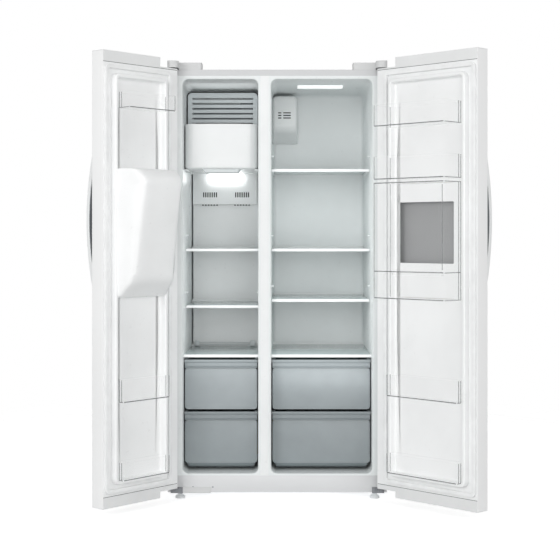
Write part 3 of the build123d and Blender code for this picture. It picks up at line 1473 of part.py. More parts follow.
def door_basket(door, floor, rim, stand_out):
    """A clear bin between the dikes, open at the top, with rounded front corners."""
    s0 = door.bay_start
    s1 = door.bay_end
    n1 = DIKE_N + stand_out
    bin_ = block(s0, s1, DOOR_INNER, n1, floor, rim)
    bin_ = fillet(bin_.edges().filter_by(Axis.Z).group_by(Axis.Y)[-1], BASKET_CORNER)
    w = BASKET_WALL
    room = block(s0 + w, s1 - w, DOOR_INNER + w, n1 - w, floor + w, rim)
    room = fillet(room.edges().filter_by(Axis.Z).group_by(Axis.Y)[-1], BASKET_CORNER - w)
    return bin_ - room


# ---------------------------------------------------------------- freezer door
def bulge_form(door, inset):
    """The dispenser housing: a side profile crossed with a tapered plan."""
    n0 = DOOR_INNER - DOOR_LINER
    profile = prism_yz(
        [
            (n0, BULGE_BOTTOM + inset),
            (DIKE_N, BULGE_BOTTOM + inset),
            (BULGE_KNEE_DEPTH - inset, BULGE_KNEE + inset / 2),
            (BULGE_SHOULDER_DEPTH - inset, BULGE_SHOULDER - inset / 2),
            (BULGE_TOP_DEPTH - inset / 2, BULGE_TOP - inset),
            (n0, BULGE_TOP - inset),
        ],
        door.dike_start,
        door.dike_end,
    )
    s0 = door.bay_start - DIKE_WIDTH / 2 + inset
    s1 = door.bay_end + DIKE_WIDTH / 2 - inset
    plan = prism_xy(
        [
            (s0, n0),
            (s0, DIKE_N - DIKE_RADIUS),
            (s0 + BULGE_HINGE_INSET, BULGE_SHOULDER_DEPTH - inset),
            (s1 - BULGE_FREE_INSET, BULGE_SHOULDER_DEPTH - inset),
            (s1, DIKE_N - DIKE_RADIUS),
            (s1, n0),
        ],
        BULGE_BOTTOM - CUT,
        BULGE_TOP + CUT,
    )
    return profile & plan


def dispenser_span(door):
    """The dispenser's left and right edges."""
    return door.bay_start + DISPENSER_SIDE, door.bay_end - DISPENSER_SIDE


def dispenser_frame(door):
    """Dispenser: control panel over an open niche, in one moulded frame."""
    s0, s1 = dispenser_span(door)
    face = -DOOR_OUTER
    z0 = DISPENSER_BOTTOM
    z1 = DISPENSER_TOP
    body = block(s0, s1, face, face + NICHE_DEPTH + FRAME_WALL, z0, NICHE_TOP + FRAME_WALL)
    body += block(s0, s1, face, face + PANEL_DEPTH, NICHE_TOP, z1)
    bezel = block(s0 - BEZEL, s1 + BEZEL, face - BEZEL_PROUD, face, z0 - BEZEL, z1 + BEZEL)
    bezel = rounded(bezel, Axis.Y, BEZEL_RADIUS)
    body += bezel
    w = FRAME_WALL
    niche = block(s0 + w, s1 - w, face - BEZEL_PROUD - CUT, face + NICHE_DEPTH, z0 + w, NICHE_TOP)
    return body - niche


def dispenser_paddle(door):
    """The push paddle, hung on a pin at the top of the niche."""
    s0, s1 = dispenser_span(door)
    mid = (s0 + s1) / 2
    n = PADDLE_AXIS_DEPTH
    z = NICHE_TOP - PADDLE_AXIS_DROP
    half = PADDLE_WIDTH / 2
    plate = block(mid - half, mid + half, n - PADDLE_THICK, n, z - PADDLE_LENGTH, z)
    plate = fillet(plate.edges().filter_by(Axis.Y).group_by(Axis.Z)[0], PADDLE_RADIUS)
    barrel = crosswise(mid - half, mid + half, n, z, PADDLE_BARREL)
    bore = crosswise(mid - half, mid + half, n, z, PADDLE_PIN + RUNNING_CLEARANCE)
    return plate + barrel - bore


def paddle_bearings(door):
    """Two lugs and a pin that carry the paddle under the niche's ceiling."""
    s0, s1 = dispenser_span(door)
    mid = (s0 + s1) / 2
    n = PADDLE_AXIS_DEPTH
    z = NICHE_TOP - PADDLE_AXIS_DROP
    inner = PADDLE_WIDTH / 2 + PADDLE_LUG_GAP
    outer = PADDLE_WIDTH / 2 + PADDLE_PIN_OVERHANG
    lug = PADDLE_LUG
    lugs = crosswise(mid - outer, mid + outer, n, z, PADDLE_PIN)
    for a, b in ((mid - outer, mid - inner), (mid + inner, mid + outer)):
        lugs += block(a, b, n - lug, n + lug, z - lug, NICHE_TOP)
    return lugs


def drip_tray(door):
    """Shallow tray with a slotted grid on the niche's floor."""
    s0, s1 = dispenser_span(door)
    a = s0 + FRAME_WALL + TRAY_SIDE_GAP
    b = s1 - FRAME_WALL - TRAY_SIDE_GAP
    w = TRAY_WALL
    n0 = -DOOR_OUTER - BEZEL_PROUD
    n1 = n0 + TRAY_DEPTH
    z0 = DISPENSER_BOTTOM + FRAME_WALL + SEAT_GAP
    z1 = z0 + TRAY_HEIGHT
    grid = z1 - TRAY_GRID
    tray = block(a, b, n0, n1, z0, z1) - block(a + w, b - w, n0 + w, n1 - w, z0 + w, grid)
    pitch = (b - a - 2 * TRAY_MARGIN) / TRAY_SLOTS
    for index in range(TRAY_SLOTS):
        s = a + TRAY_MARGIN + index * pitch
        tray -= block(
            s + TRAY_BAR / 2,
            s + pitch - TRAY_BAR / 2,
            n0 + TRAY_SLOT_START,
            n1 - TRAY_MARGIN,
            grid,
            z1,
        )
    return tray


def make_freezer_door():
    """All the parts that swing with the freezer door."""
    door = FREEZER_DOOR
    s0, s1 = dispenser_span(door)
    niche = (s0, s1, DISPENSER_BOTTOM, DISPENSER_TOP)
    keep("freezer_door_skin", place_on_door(door, door_skin(door, [niche])))
    keep("freezer_door_foam", place_on_door(door, door_foam(door, [niche])))
    liner = door_liner(door) + bulge_form(door, 0.0) - bulge_form(door, BULGE_WALL)
    keep("freezer_door_liner", place_on_door(door, liner))
    keep("freezer_door_gasket", place_on_door(door, door_gasket(door)))
    keep("freezer_door_caps", *door_caps(door))
    keep("freezer_door_handle", place_on_door(door, door_handle(door)))
    baskets = [place_on_door(door, door_basket(door, *sizes)) for sizes in FREEZER_BASKETS]
    keep("freezer_door_baskets", *baskets)
    frame = dispenser_frame(door) + paddle_bearings(door)
    keep("dispenser_frame", place_on_door(door, frame))
    keep("dispenser_paddle", place_on_door(door, dispenser_paddle(door)))
    keep("drip_tray", place_on_door(door, drip_tray(door)))


# ---------------------------------------------------------------- fridge door
def bar_span(door):
    """Left and right edges of the home bar's opening."""
    mid = (door.dike_start + door.dike_end) / 2 - BAR_OFFSET
    return mid - BAR_WIDTH / 2, mid + BAR_WIDTH / 2


def bar_sleeve(door):
    """Moulded sleeve that lines the opening through the door."""
    s0, s1 = bar_span(door)
    w = SLEEVE_WALL
    n0 = -DOOR_OUTER + SHEET
    sleeve = block(s0 - w, s1 + w, n0, DOOR_INNER, BAR_BOTTOM - w, BAR_TOP + w)
    hole = block(s0, s1, n0, DOOR_INNER, BAR_BOTTOM, BAR_TOP)
    stop = block(s0, s1, -DOOR_OUTER + BAR_DOOR_THICK + BAR_DOOR_GAP, DOOR_INNER, BAR_BOTTOM, BAR_TOP)
    ring = BAR_STOP
    throat = block(s0 + ring, s1 - ring, n0, DOOR_INNER, BAR_BOTTOM + ring, BAR_TOP - ring)
    return sleeve - hole, stop - throat


def bar_axis():
    """Height and depth of the bar door's pivot."""
    return BAR_BOTTOM + BAR_DOOR_GAP + BAR_PIVOT, -DOOR_OUTER + BAR_PIVOT


def bar_door(door):
    """Flap in the door's outer face, pivoting on two pins at its foot."""
    s0, s1 = bar_span(door)
    g = BAR_DOOR_GAP
    n0 = -DOOR_OUTER
    z, n = bar_axis()
    leaf = block(s0 + g, s1 - g, n0, n0 + BAR_DOOR_THICK, BAR_BOTTOM + g, BAR_TOP - g)
    foot = leaf.edges().filter_by(Axis.X).group_by(Axis.Z)[0].group_by(Axis.Y)[0]
    leaf = fillet(foot, BAR_PIVOT - RUNNING_CLEARANCE)
    pins = crosswise(s0 - BAR_PIN_LENGTH + g, s1 + BAR_PIN_LENGTH - g, n, z, BAR_PIN)
    width, depth, low, high = BAR_LATCH
    mid = (s0 + s1) / 2
    top = BAR_TOP - g
    latch = block(mid - width / 2, mid + width / 2, n0, n0 + depth, top - low, top - high)
    return leaf + pins - latch


def case_span(door):
    """Ends of the home bar's case: it fills the storage bay."""
    return door.bay_start, door.bay_end


def flap_span(door):
    """Ends of the clear flap in the case's front."""
    s1 = case_span(door)[1] - FLAP_END
    return s1 - FLAP_WIDTH, s1


def bar_case(door):
    """Clear case behind the home bar: tray, ends and top, with a window for the flap."""
    s0, s1 = case_span(door)
    n1 = DIKE_N + CASE_STAND_OUT
    case = block(s0, s1, DOOR_INNER, n1, CASE_BOTTOM, CASE_TOP)
    case = fillet(case.edges().filter_by(Axis.Z).group_by(Axis.Y)[-1], CASE_CORNER)
    w = CASE_WALL
    room = block(s0 + w, s1 - w, DOOR_INNER, n1 - w, CASE_BOTTOM + w, CASE_TOP - w)
    room = fillet(room.edges().filter_by(Axis.Z).group_by(Axis.Y)[-1], CASE_CORNER - w)
    case -= room
    f0, f1 = flap_span(door)
    g = FLAP_GAP
    case -= block(f0 - g, f1 + g, n1 - w, n1, CASE_SILL, CASE_TOP - CASE_HEAD)
    z, n = flap_axis()
    lug = FLAP_LUG
    for a, b in ((f0 - g - lug, f0 - g), (f1 + g, f1 + g + lug)):
        case += block(a, b, n - lug, n1 - 1, z - lug, z + lug)
    return case - crosswise(f0 - g - lug, f1 + g + lug, n, z, FLAP_PIN + RUNNING_CLEARANCE)


def flap_axis():
    """Height and depth of the clear flap's pivot, just inside the case's front."""
    return CASE_SILL + FLAP_AXIS_RISE, DIKE_N + CASE_STAND_OUT - CASE_WALL / 2 - FLAP_THICK


def bar_flap(door):
    """Clear flap in the case's front, pivoting at its foot."""
    f0, f1 = flap_span(door)
    n1 = DIKE_N + CASE_STAND_OUT
    z, n = flap_axis()
    leaf = block(
        f0, f1, n1 - FLAP_THICK, n1, CASE_SILL + FLAP_FOOT_GAP, CASE_TOP - CASE_HEAD - FLAP_GAP
    )
    barrel = crosswise(f0, f1, n, z, FLAP_BARREL)
    pins = crosswise(f0 - FLAP_LUG, f1 + FLAP_LUG, n, z, FLAP_PIN)
    start, end, proud = FLAP_GRIP
    low, high = FLAP_GRIP_Z
    grip = block(f1 - start, f1 - end, n1, n1 + proud, CASE_TOP - low, CASE_TOP - high)
    return leaf + barrel + pins + grip


def make_fridge_door():
    """All the parts that swing with the fridge door."""
    door = FRIDGE_DOOR
    s0, s1 = bar_span(door)
    w = SLEEVE_WALL
    skin_window = (s0, s1, BAR_BOTTOM, BAR_TOP)
    foam_window = (s0 - w, s1 + w, BAR_BOTTOM - w, BAR_TOP + w)
    keep("fridge_door_skin", place_on_door(door, door_skin(door, [skin_window])))
    keep("fridge_door_foam", place_on_door(door, door_foam(door, [foam_window])))
    sleeve, stop = bar_sleeve(door)
    z, n = bar_axis()
    sockets = crosswise(
        s0 - BAR_PIN_LENGTH + BAR_DOOR_GAP - BAR_PIN_END,
        s1 + BAR_PIN_LENGTH - BAR_DOOR_GAP + BAR_PIN_END,
        n,
        z,
        BAR_PIN + RUNNING_CLEARANCE,
    )
    opening = block(s0, s1, DOOR_INNER - DOOR_LINER, DOOR_INNER, BAR_BOTTOM, BAR_TOP)
    liner = door_liner(door) - opening + sleeve + stop - sockets
    keep("fridge_door_liner", place_on_door(door, liner))
    keep("fridge_door_gasket", place_on_door(door, door_gasket(door)))
    keep("fridge_door_caps", *door_caps(door))
    keep("fridge_door_handle", place_on_door(door, door_handle(door)))
    baskets = [place_on_door(door, door_basket(door, *sizes)) for sizes in FRIDGE_BASKETS]
    keep("fridge_door_baskets", *baskets)
    keep("bar_case", place_on_door(door, bar_case(door)))
    keep("bar_flap", place_on_door(door, bar_flap(door)))
    keep("bar_door", place_on_door(door, bar_door(door)))


# ---------------------------------------------------------------- assembly
def build():
    """Make every node."""
    make_case()
    make_foam()
    make_liner(
        "freezer_liner",
        *FREEZER_X,
        FREEZER_SHELF_TOPS,
        FREEZER_SHELF_RECESS,
        SIDE_WALL - STEEL_LIP,
        MULLION_SIDE,
    )
    make_liner(
        "fridge_liner",
        *FRIDGE_X,
        FRIDGE_SHELF_TOPS,
        FRIDGE_SHELF_RECESS,
        MULLION_SIDE,
        SIDE_WALL - STEEL_LIP,
    )
    make_front_trim()
    make_base()
    make_feet()
    make_compressor()
    make_drain_pan(make_condenser())
    make_machine_cover()
    make_evaporator()
    make_fan()
    make_duct_panel()
    make_ice_maker()
    make_ice_bucket()
    make_lamps()
    make_air_duct()
    make_shelves("freezer_shelf", *FREEZER_X, FREEZER_SHELF_TOPS, FREEZER_SHELF_RECESS)
    make_shelves("fridge_shelf", *FRIDGE_X, FRIDGE_SHELF_TOPS, FRIDGE_SHELF_RECESS)
    make_covers()
    for index, (rim, floor) in enumerate(zip(DRAWER_RIMS, DRAWER_FLOORS), start=1):
        make_drawer(f"freezer_drawer_{index}", *FREEZER_X, rim, floor)
        make_drawer(f"crisper_{index}", *FRIDGE_X, rim, floor)
    make_hinge_covers(make_hinges())
    make_freezer_door()
    make_fridge_door()


def write():
    """Write one STEP file for each node."""
    os.makedirs("parts", exist_ok=True)
    for name, shapes in NODES.items():
        solids = [solid for shape in shapes for solid in shape.solids()]
        export_step(Compound(children=solids) if len(solids) > 1 else solids[0],
                    os.path.join("parts", name + ".step"))


build()
write()
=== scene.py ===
"""Surfaces, finishes, lamps and camera of a side by side refrigerator standing with open doors."""

import json
import logging
import math
from dataclasses import dataclass
from enum import Enum

import bmesh
import bpy
import numpy as np
from numpy.typing import NDArray
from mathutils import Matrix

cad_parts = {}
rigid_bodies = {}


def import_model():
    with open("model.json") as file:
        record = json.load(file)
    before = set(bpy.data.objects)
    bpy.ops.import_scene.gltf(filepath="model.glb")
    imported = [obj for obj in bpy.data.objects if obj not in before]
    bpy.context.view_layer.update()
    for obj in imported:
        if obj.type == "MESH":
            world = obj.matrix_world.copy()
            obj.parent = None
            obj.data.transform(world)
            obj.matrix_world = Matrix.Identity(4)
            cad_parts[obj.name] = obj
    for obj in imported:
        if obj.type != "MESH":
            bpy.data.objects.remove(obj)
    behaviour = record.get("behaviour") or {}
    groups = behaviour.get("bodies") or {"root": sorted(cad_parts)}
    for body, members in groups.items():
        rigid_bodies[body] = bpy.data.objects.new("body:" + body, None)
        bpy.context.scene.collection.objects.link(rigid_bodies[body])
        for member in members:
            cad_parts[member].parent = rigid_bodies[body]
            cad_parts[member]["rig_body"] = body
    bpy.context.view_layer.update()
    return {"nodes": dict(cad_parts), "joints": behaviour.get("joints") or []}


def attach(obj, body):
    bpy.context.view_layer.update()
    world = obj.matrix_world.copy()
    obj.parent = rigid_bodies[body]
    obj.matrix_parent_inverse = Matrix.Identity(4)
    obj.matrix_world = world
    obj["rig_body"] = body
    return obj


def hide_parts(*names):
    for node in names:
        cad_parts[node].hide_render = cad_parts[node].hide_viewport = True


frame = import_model()

LOG = logging.getLogger("refrigerator")
Array = NDArray[np.float64]
MM = 0.001
QUARTER = math.pi / 2
SEAT_GAP = 0.3 * MM         # between a piece and the ledge or wall that it sits on
GLASS = 4.5 * MM            # thickness of every shelf's glass
TAIL_RISE = 8.0 * MM        # how far a shelf's rear trim stands above the glass
TRIM_DEPTH = 14.0 * MM      # front to back, of a shelf's front trim


# ---------------------------------------------------------------- places
@dataclass(frozen=True)
class Seat:
    """Three right-angled directions and an origin that a piece is drawn in."""

    origin: tuple[float, float, float]
    first: tuple[float, float, float]
    second: tuple[float, float, float]
    third: tuple[float, float, float]

    def axes(self) -> Array:
        """The three directions as the rows of a matrix."""
        return np.array([self.first, self.second, self.third])

    def place(self, points: Array) -> Array:
        """Points drawn in this seat, moved to the refrigerator's own axes."""
        return np.array(self.origin) + points @ self.axes()

    def local(self, points: Array) -> Array:
        """Points of the refrigerator, seen in this seat."""
        return (points - np.array(self.origin)) @ self.axes().T


@dataclass(frozen=True)
class Box:
    """Lowest and highest corner of a solid in some seat."""

    low: Array
    high: Array

    def middle(self) -> Array:
        """The centre of the box."""
        return (self.low + self.high) / 2


UPRIGHT = Seat((0, 0, 0), (1, 0, 0), (0, 1, 0), (0, 0, 1))      # across, back, up
FRONTAL = Seat((0, 0, 0), (1, 0, 0), (0, 0, 1), (0, 1, 0))      # across, up, back
SIDEWAYS = Seat((0, 0, 0), (0, 1, 0), (0, 0, 1), (1, 0, 0))     # back, up, across


def mesh_points(mesh: bpy.types.Mesh) -> Array:
    """Every vertex of a mesh as an (n, 3) array."""
    flat = np.zeros(len(mesh.vertices) * 3)
    mesh.vertices.foreach_get("co", flat)
    return flat.reshape(-1, 3)


def node_box(node: str, seat: Seat = UPRIGHT) -> Box:
    """Box of a whole solid node, measured in a seat."""
    points = seat.local(mesh_points(frame["nodes"][node].data))
    return Box(points.min(axis=0), points.max(axis=0))


def solid_boxes(node: str, seat: Seat = UPRIGHT, along: int = 2) -> list[Box]:
    """Boxes of a node's separate solids.

    Vertices at one place are joined, then each vertex takes the lowest label among its
    neighbours until nothing changes, which leaves one label for each solid.

    Args:
        node: name of the solid node.
        seat: directions to measure in.
        along: direction to sort by, highest first.

    Returns:
        One box for each solid.
    """
    mesh = frame["nodes"][node].data
    points = seat.local(mesh_points(mesh))
    ends = np.zeros(len(mesh.edges) * 2, np.int64)
    mesh.edges.foreach_get("vertices", ends)
    _, index = np.unique(np.round(points, 5), axis=0, return_inverse=True)
    index = index.ravel()
    ends = index[ends].reshape(-1, 2)
    label = np.arange(index.max() + 1)
    while True:
        lowest = np.minimum(label[ends[:, 0]], label[ends[:, 1]])
        update = label.copy()
        np.minimum.at(update, ends[:, 0], lowest)
        np.minimum.at(update, ends[:, 1], lowest)
        update = update[update]
        if np.array_equal(update, label):
            break
        label = update
    owner = label[index]
    boxes = [
        Box(points[owner == one].min(axis=0), points[owner == one].max(axis=0))
        for one in np.unique(owner)
    ]
    return sorted(boxes, key=lambda box: -box.middle()[along])


# ---------------------------------------------------------------- surfaces
@dataclass
class Surface:
    """A closed surface: its points, its four-sided faces and its end faces."""

    points: Array
    quads: NDArray[np.int64]
    caps: list[list[int]]

    def volume(self) -> float:
        """Signed volume, from the tetrahedra between the origin and every face.

        Returns:
            The volume, negative where the faces point in.
        """
        corner = self.points[self.quads]
        first = np.einsum("ij,ij->i", corner[:, 0], np.cross(corner[:, 1], corner[:, 2]))
        second = np.einsum("ij,ij->i", corner[:, 0], np.cross(corner[:, 2], corner[:, 3]))
        total = first.sum() + second.sum()
        for cap in self.caps:
            ring = self.points[cap]
            total += np.einsum("j,ij->", ring[0], np.cross(ring[1:-1], ring[2:]))
        return float(total) / 6

    def outward(self) -> "Surface":
        """The same surface with its faces pointing out."""
        if self.volume() >= 0:
            return self
        return Surface(self.points, self.quads[:, ::-1], [cap[::-1] for cap in self.caps])


def lofted(rings: Array, looped: bool = False) -> Surface:
    """A skin over a row of closed rings: quads between each ring and the next.

    Args:
        rings: (rows, points of a ring, 3).
        looped: the last ring joins the first one, with no end faces.

    Returns:
        The closed surface.
    """
    rows, columns = rings.shape[:2]
    spans = rows if looped else rows - 1
    row, column = np.meshgrid(np.arange(spans), np.arange(columns), indexing="ij")
    after_row = (row + 1) % rows
    after = (column + 1) % columns
    quads = np.stack(
        [
            row * columns + column,
            row * columns + after,
            after_row * columns + after,
            after_row * columns + column,
        ],
        axis=-1,
    ).reshape(-1, 4)
    caps = []
    if not looped:
        caps = [list(range(columns))[::-1], list(range((rows - 1) * columns, rows * columns))]
    return Surface(rings.reshape(-1, 3), quads, caps).outward()


def eased(points: Array, radius: float | Array, steps: int = 4, closed: bool = False) -> Array:
    """A line of straight runs with its corners rounded.

    Each corner becomes a quadratic curve that leaves one run the radius before the corner
    and meets the next run the radius after it, limited to half of the shorter run.

    Args:
        points: (n, dimensions) corners.
        radius: one radius, or one for each corner.
        steps: pieces in each rounded corner.
        closed: the last point joins the first.

    Returns:
        The points of the rounded line.
    """
    before = np.roll(points, 1, axis=0) - points
    after = np.roll(points, -1, axis=0) - points
    back = np.linalg.norm(before, axis=1, keepdims=True)
    ahead = np.linalg.norm(after, axis=1, keepdims=True)
    reach = np.broadcast_to(np.asarray(radius, float).reshape(-1, 1), back.shape)
    reach = np.minimum(reach, np.minimum(back, ahead) * 0.499)
    start = points + before / back * reach
    end = points + after / ahead * reach
    t = np.linspace(0, 1, steps + 1)[None, :, None]
    curve = (1 - t) ** 2 * start[:, None] + 2 * t * (1 - t) * points[:, None] + t**2 * end[:, None]
    if closed:
        return curve.reshape(-1, points.shape[1])
    inner = curve[1:-1].reshape(-1, points.shape[1])
    return np.vstack([points[:1], inner, points[-1:]])


def rounded_rings(rows: Array, corner_steps: int = 5, side_steps: int = 1) -> Array:
    """Rings that are rectangles with round corners, one for each row.

    A corner point is the corner's centre plus the radius times (cos, sin) of its angle; the
    straight sides between two corners are divided evenly.

    Args:
        rows: (m, 7) lowest and highest first, lowest and highest second, third, radius of
            the two corners at the lowest second and at the highest second.
        corner_steps: pieces in each corner.
        side_steps: pieces in each straight side.

    Returns:
        (m, points, 3) rings.
    """
    a0, a1, b0, b1, c, low, high = rows.T[:, :, None, None]
    limit = np.minimum(a1 - a0, b1 - b0) * 0.499
    right = np.array([1, 0, 0, 1])[None, :, None]
    top = np.array([1, 1, 0, 0])[None, :, None]
    radius = np.minimum(np.where(top == 1, high, low), limit)
    turn = np.arange(4)[:, None] * QUARTER + np.linspace(0, QUARTER, corner_steps + 1)
    first = np.where(right == 1, a1 - radius, a0 + radius) + radius * np.cos(turn)[None]
    second = np.where(top == 1, b1 - radius, b0 + radius) + radius * np.sin(turn)[None]
    corners = np.stack([first, second, np.broadcast_to(c, first.shape)], axis=-1)
    following = np.roll(corners, -1, axis=1)[:, :, :1]
    share = np.linspace(0, 1, side_steps + 1)[1:-1][None, None, :, None]
    sides = corners[:, :, -1:] * (1 - share) + following * share
    rings = np.concatenate([corners, sides], axis=2)
    return rings.reshape(len(rows), -1, 3)


def round_rows(rect: Array, profile: Array, low: float, high: float | None = None) -> Array:
    """Rows for rounded_rings: a profile (outset, third) carried round a rectangle.

    Args:
        rect: lowest and highest first, lowest and highest second.
        profile: (m, 2) outset from the rectangle, and place along the third direction.
        low: corner radius of the rectangle at its lowest second.
        high: corner radius at its highest second, or the same.

    Returns:
        (m, 7) rows.
    """
    out = profile[:, 0]
    high = low if high is None else high
    columns = [rect[0] - out, rect[1] + out, rect[2] - out, rect[3] + out, profile[:, 1]]
    columns += [np.maximum(low + out, 0.2 * MM), np.maximum(high + out, 0.2 * MM)]
    return np.stack(columns, axis=1)


def soft_block(
    low: Array, high: Array, edge: float, corner: float = 0.0, steps: int = 3
) -> Surface:
    """A block with rounded edges, as rings stacked along the third direction.

    The first and last rings draw in along a quarter circle, and every ring is a rounded
    rectangle.

    Args:
        low: lowest corner.
        high: highest corner.
        edge: radius of the end edges.
        corner: radius of the edges along the third direction, at least the end radius.
        steps: pieces in each quarter circle.

    Returns:
        The closed surface.
    """
    edge = min(edge, float((high - low).min()) * 0.49)
    turn = np.linspace(0, QUARTER, steps + 1)
    start = np.stack([edge * (np.sin(turn) - 1), low[2] + edge * (1 - np.cos(turn))], axis=1)
    end = np.stack([start[::-1, 0], low[2] + high[2] - start[::-1, 1]], axis=1)
    rect = np.array([low[0], high[0], low[1], high[1]])
    rows = round_rows(rect, np.vstack([start, end]), max(corner, edge))
    return lofted(rounded_rings(rows, corner_steps=max(steps, 3)))


def carried(profile: Array, path: Array, side: Array) -> Array:
    """Rings of a closed profile carried along a flat path.

    Each ring is the path's point, plus the profile's first number times the side direction,
    plus its second number times the direction square to both the path and the side.

    Args:
        profile: (k, 2) closed outline.
        path: (m, 3) points in one plane.
        side: unit vector square to that plane.

    Returns:
        (m, k, 3) rings.
    """
    tangent = np.gradient(path, axis=0)
    tangent /= np.linalg.norm(tangent, axis=1, keepdims=True)
    out = np.cross(tangent, side)
    return (
        path[:, None]
        + profile[None, :, :1] * side[None, None]
        + profile[None, :, 1:] * out[:, None]
    )


def turned(profile: Array, centre: Array, steps: int = 24) -> Surface:
    """A turned form: each (radius, height) of the profile swings round the third direction.

    Args:
        profile: (m, 2) radius and height, from one end to the other.
        centre: where the axis stands.
        steps: points round the axis.

    Returns:
        The closed surface.
    """
    angle = np.linspace(0, 4 * QUARTER, steps, endpoint=False)
    radius = np.maximum(profile[:, :1], 0.01 * MM)
    rings = np.stack(
        [radius * np.cos(angle), radius * np.sin(angle), np.repeat(profile[:, 1:], steps, axis=1)],
        axis=-1,
    )
    return lofted(rings + centre)


def circle_through(half: float, rise: float, at: Array) -> Array:
    """Height of an arc over its chord: zero at both ends and the full rise in the middle."""
    radius = (half**2 + rise**2) / (2 * rise)
    return np.sqrt(np.maximum(radius**2 - at**2, 0)) - (radius - rise)


# ---------------------------------------------------------------- pieces
def new_piece(name: str, surfaces: list[Surface]) -> bpy.types.Object:
    """Make one mesh object of closed surfaces.

    Args:
        name: name of the piece.
        surfaces: its closed surfaces, in the refrigerator's axes.

    Returns:
        The object, at the origin, with its place in its mesh.
    """
    points: list[Array] = []
    faces: list[list[int]] = []
    start = 0
    for surface in surfaces:
        whole = surface.outward()
        points.append(whole.points)
        faces += (whole.quads + start).tolist()
        faces += [[index + start for index in cap] for cap in whole.caps]
        start += len(whole.points)
    mesh = bpy.data.meshes.new(name)
    mesh.from_pydata(np.vstack(points).tolist(), [], faces)
    mesh.update()
    piece = bpy.data.objects.new(name, mesh)
    bpy.context.scene.collection.objects.link(piece)
    smooth(mesh)
    return piece


def smooth(mesh: bpy.types.Mesh, angle: float = 32.0) -> None:
    """Shade a mesh smooth, with edges sharper than the angle left crisp."""
    mesh.polygons.foreach_set("use_smooth", np.ones(len(mesh.polygons), bool))
    mesh.set_sharp_from_angle(angle=math.radians(angle))


def softened(node: str, edge: float, segments: int = 2) -> bpy.types.Object:
    """A merged copy of a solid node with its sharp edges rounded off.

    Args:
        node: name of the solid node.
        edge: width of the rounding.
        segments: pieces in the rounding.

    Returns:
        The copy, with a Bevel modifier on its edges.
    """
    mesh = frame["nodes"][node].data.copy()
    merge, flat, sharp = 0.01 * MM, math.radians(0.6), math.radians(40)
    work = bmesh.new()
    work.from_mesh(mesh)
    bmesh.ops.remove_doubles(work, verts=work.verts, dist=merge)
    bmesh.ops.dissolve_limit(work, angle_limit=flat, verts=work.verts, edges=work.edges)
    work.to_mesh(mesh)
    work.free()
    mesh.materials.clear()
    smooth(mesh)
    piece = bpy.data.objects.new(f"{node}_body", mesh)
    bpy.context.scene.collection.objects.link(piece)
    bevel = piece.modifiers.new("rounding", "BEVEL")
    bevel.width = edge
    bevel.segments = segments
    bevel.limit_method = "ANGLE"
    bevel.angle_limit = sharp
    bevel.use_clamp_overlap = True
    bevel.harden_normals = True
    return piece


# ---------------------------------------------------------------- finishes
def tone(red: float, green: float, blue: float) -> tuple[float, float, float, float]:
    """A colour given in screen values 0 to 255, in linear light."""
    share = np.array([red, green, blue]) / 255
    linear = np.where(share <= 0.04045, share / 12.92, ((share + 0.055) / 1.055) ** 2.4)
    return (*(float(value) for value in linear), 1.0)


def shaded(colour: tuple[float, float, float], share: float) -> tuple[float, float, float, float]:
    """A colour with every part of it taken down to a share."""
    return tone(*(value * share for value in colour))


class Gloss(Enum):
    """Roughness of a surface."""

    SATIN = 0.46
    SILK = 0.34
    SHINY = 0.2
    GLASSY = 0.07


Socket = bpy.types.NodeSocket
Colour = tuple[float, float, float]


class Wiring:
    """A node tree being wired, from empty."""

    def __init__(self, tree: bpy.types.NodeTree) -> None:
        """Empty the tree and keep its nodes and links."""
        self.nodes = tree.nodes
        self.links = tree.links
        self.nodes.clear()

    def add(self, kind: str, **values: float | tuple) -> bpy.types.Node:
        """A new node of a kind, with constants on the sockets that are named.

        Args:
            kind: the node's type without its ShaderNode prefix.
            values: a constant for each socket, its name written with underscores.

        Returns:
            The node.
        """
        node = self.nodes.new(f"ShaderNode{kind}")
        for name, value in values.items():
            node.inputs[name.replace("_", " ")].default_value = value
        return node

    def larger(self, first: Socket, second: Socket) -> Socket:
        """The larger of two values.

        Args:
            first: one value.
            second: the other value.

        Returns:
            The socket that carries the larger one.
        """
        node = self.add("Math")
        node.operation = "MAXIMUM"
        self.links.new(first, node.inputs[0])
        self.links.new(second, node.inputs[1])
        return node.outputs[0]

    def between(self, share: Socket, first: bpy.types.Node, second: bpy.types.Node) -> bpy.types.Node:
        """A surface or light between two, by a share.

        Args:
            share: 0 gives the first and 1 the second.
            first: a surface or light.
            second: another one.

        Returns:
            The node that mixes them.
        """
        node = self.add("MixShader")
        for index, source in enumerate((share, first.outputs[0], second.outputs[0])):
            self.links.new(source, node.inputs[index])
        return node


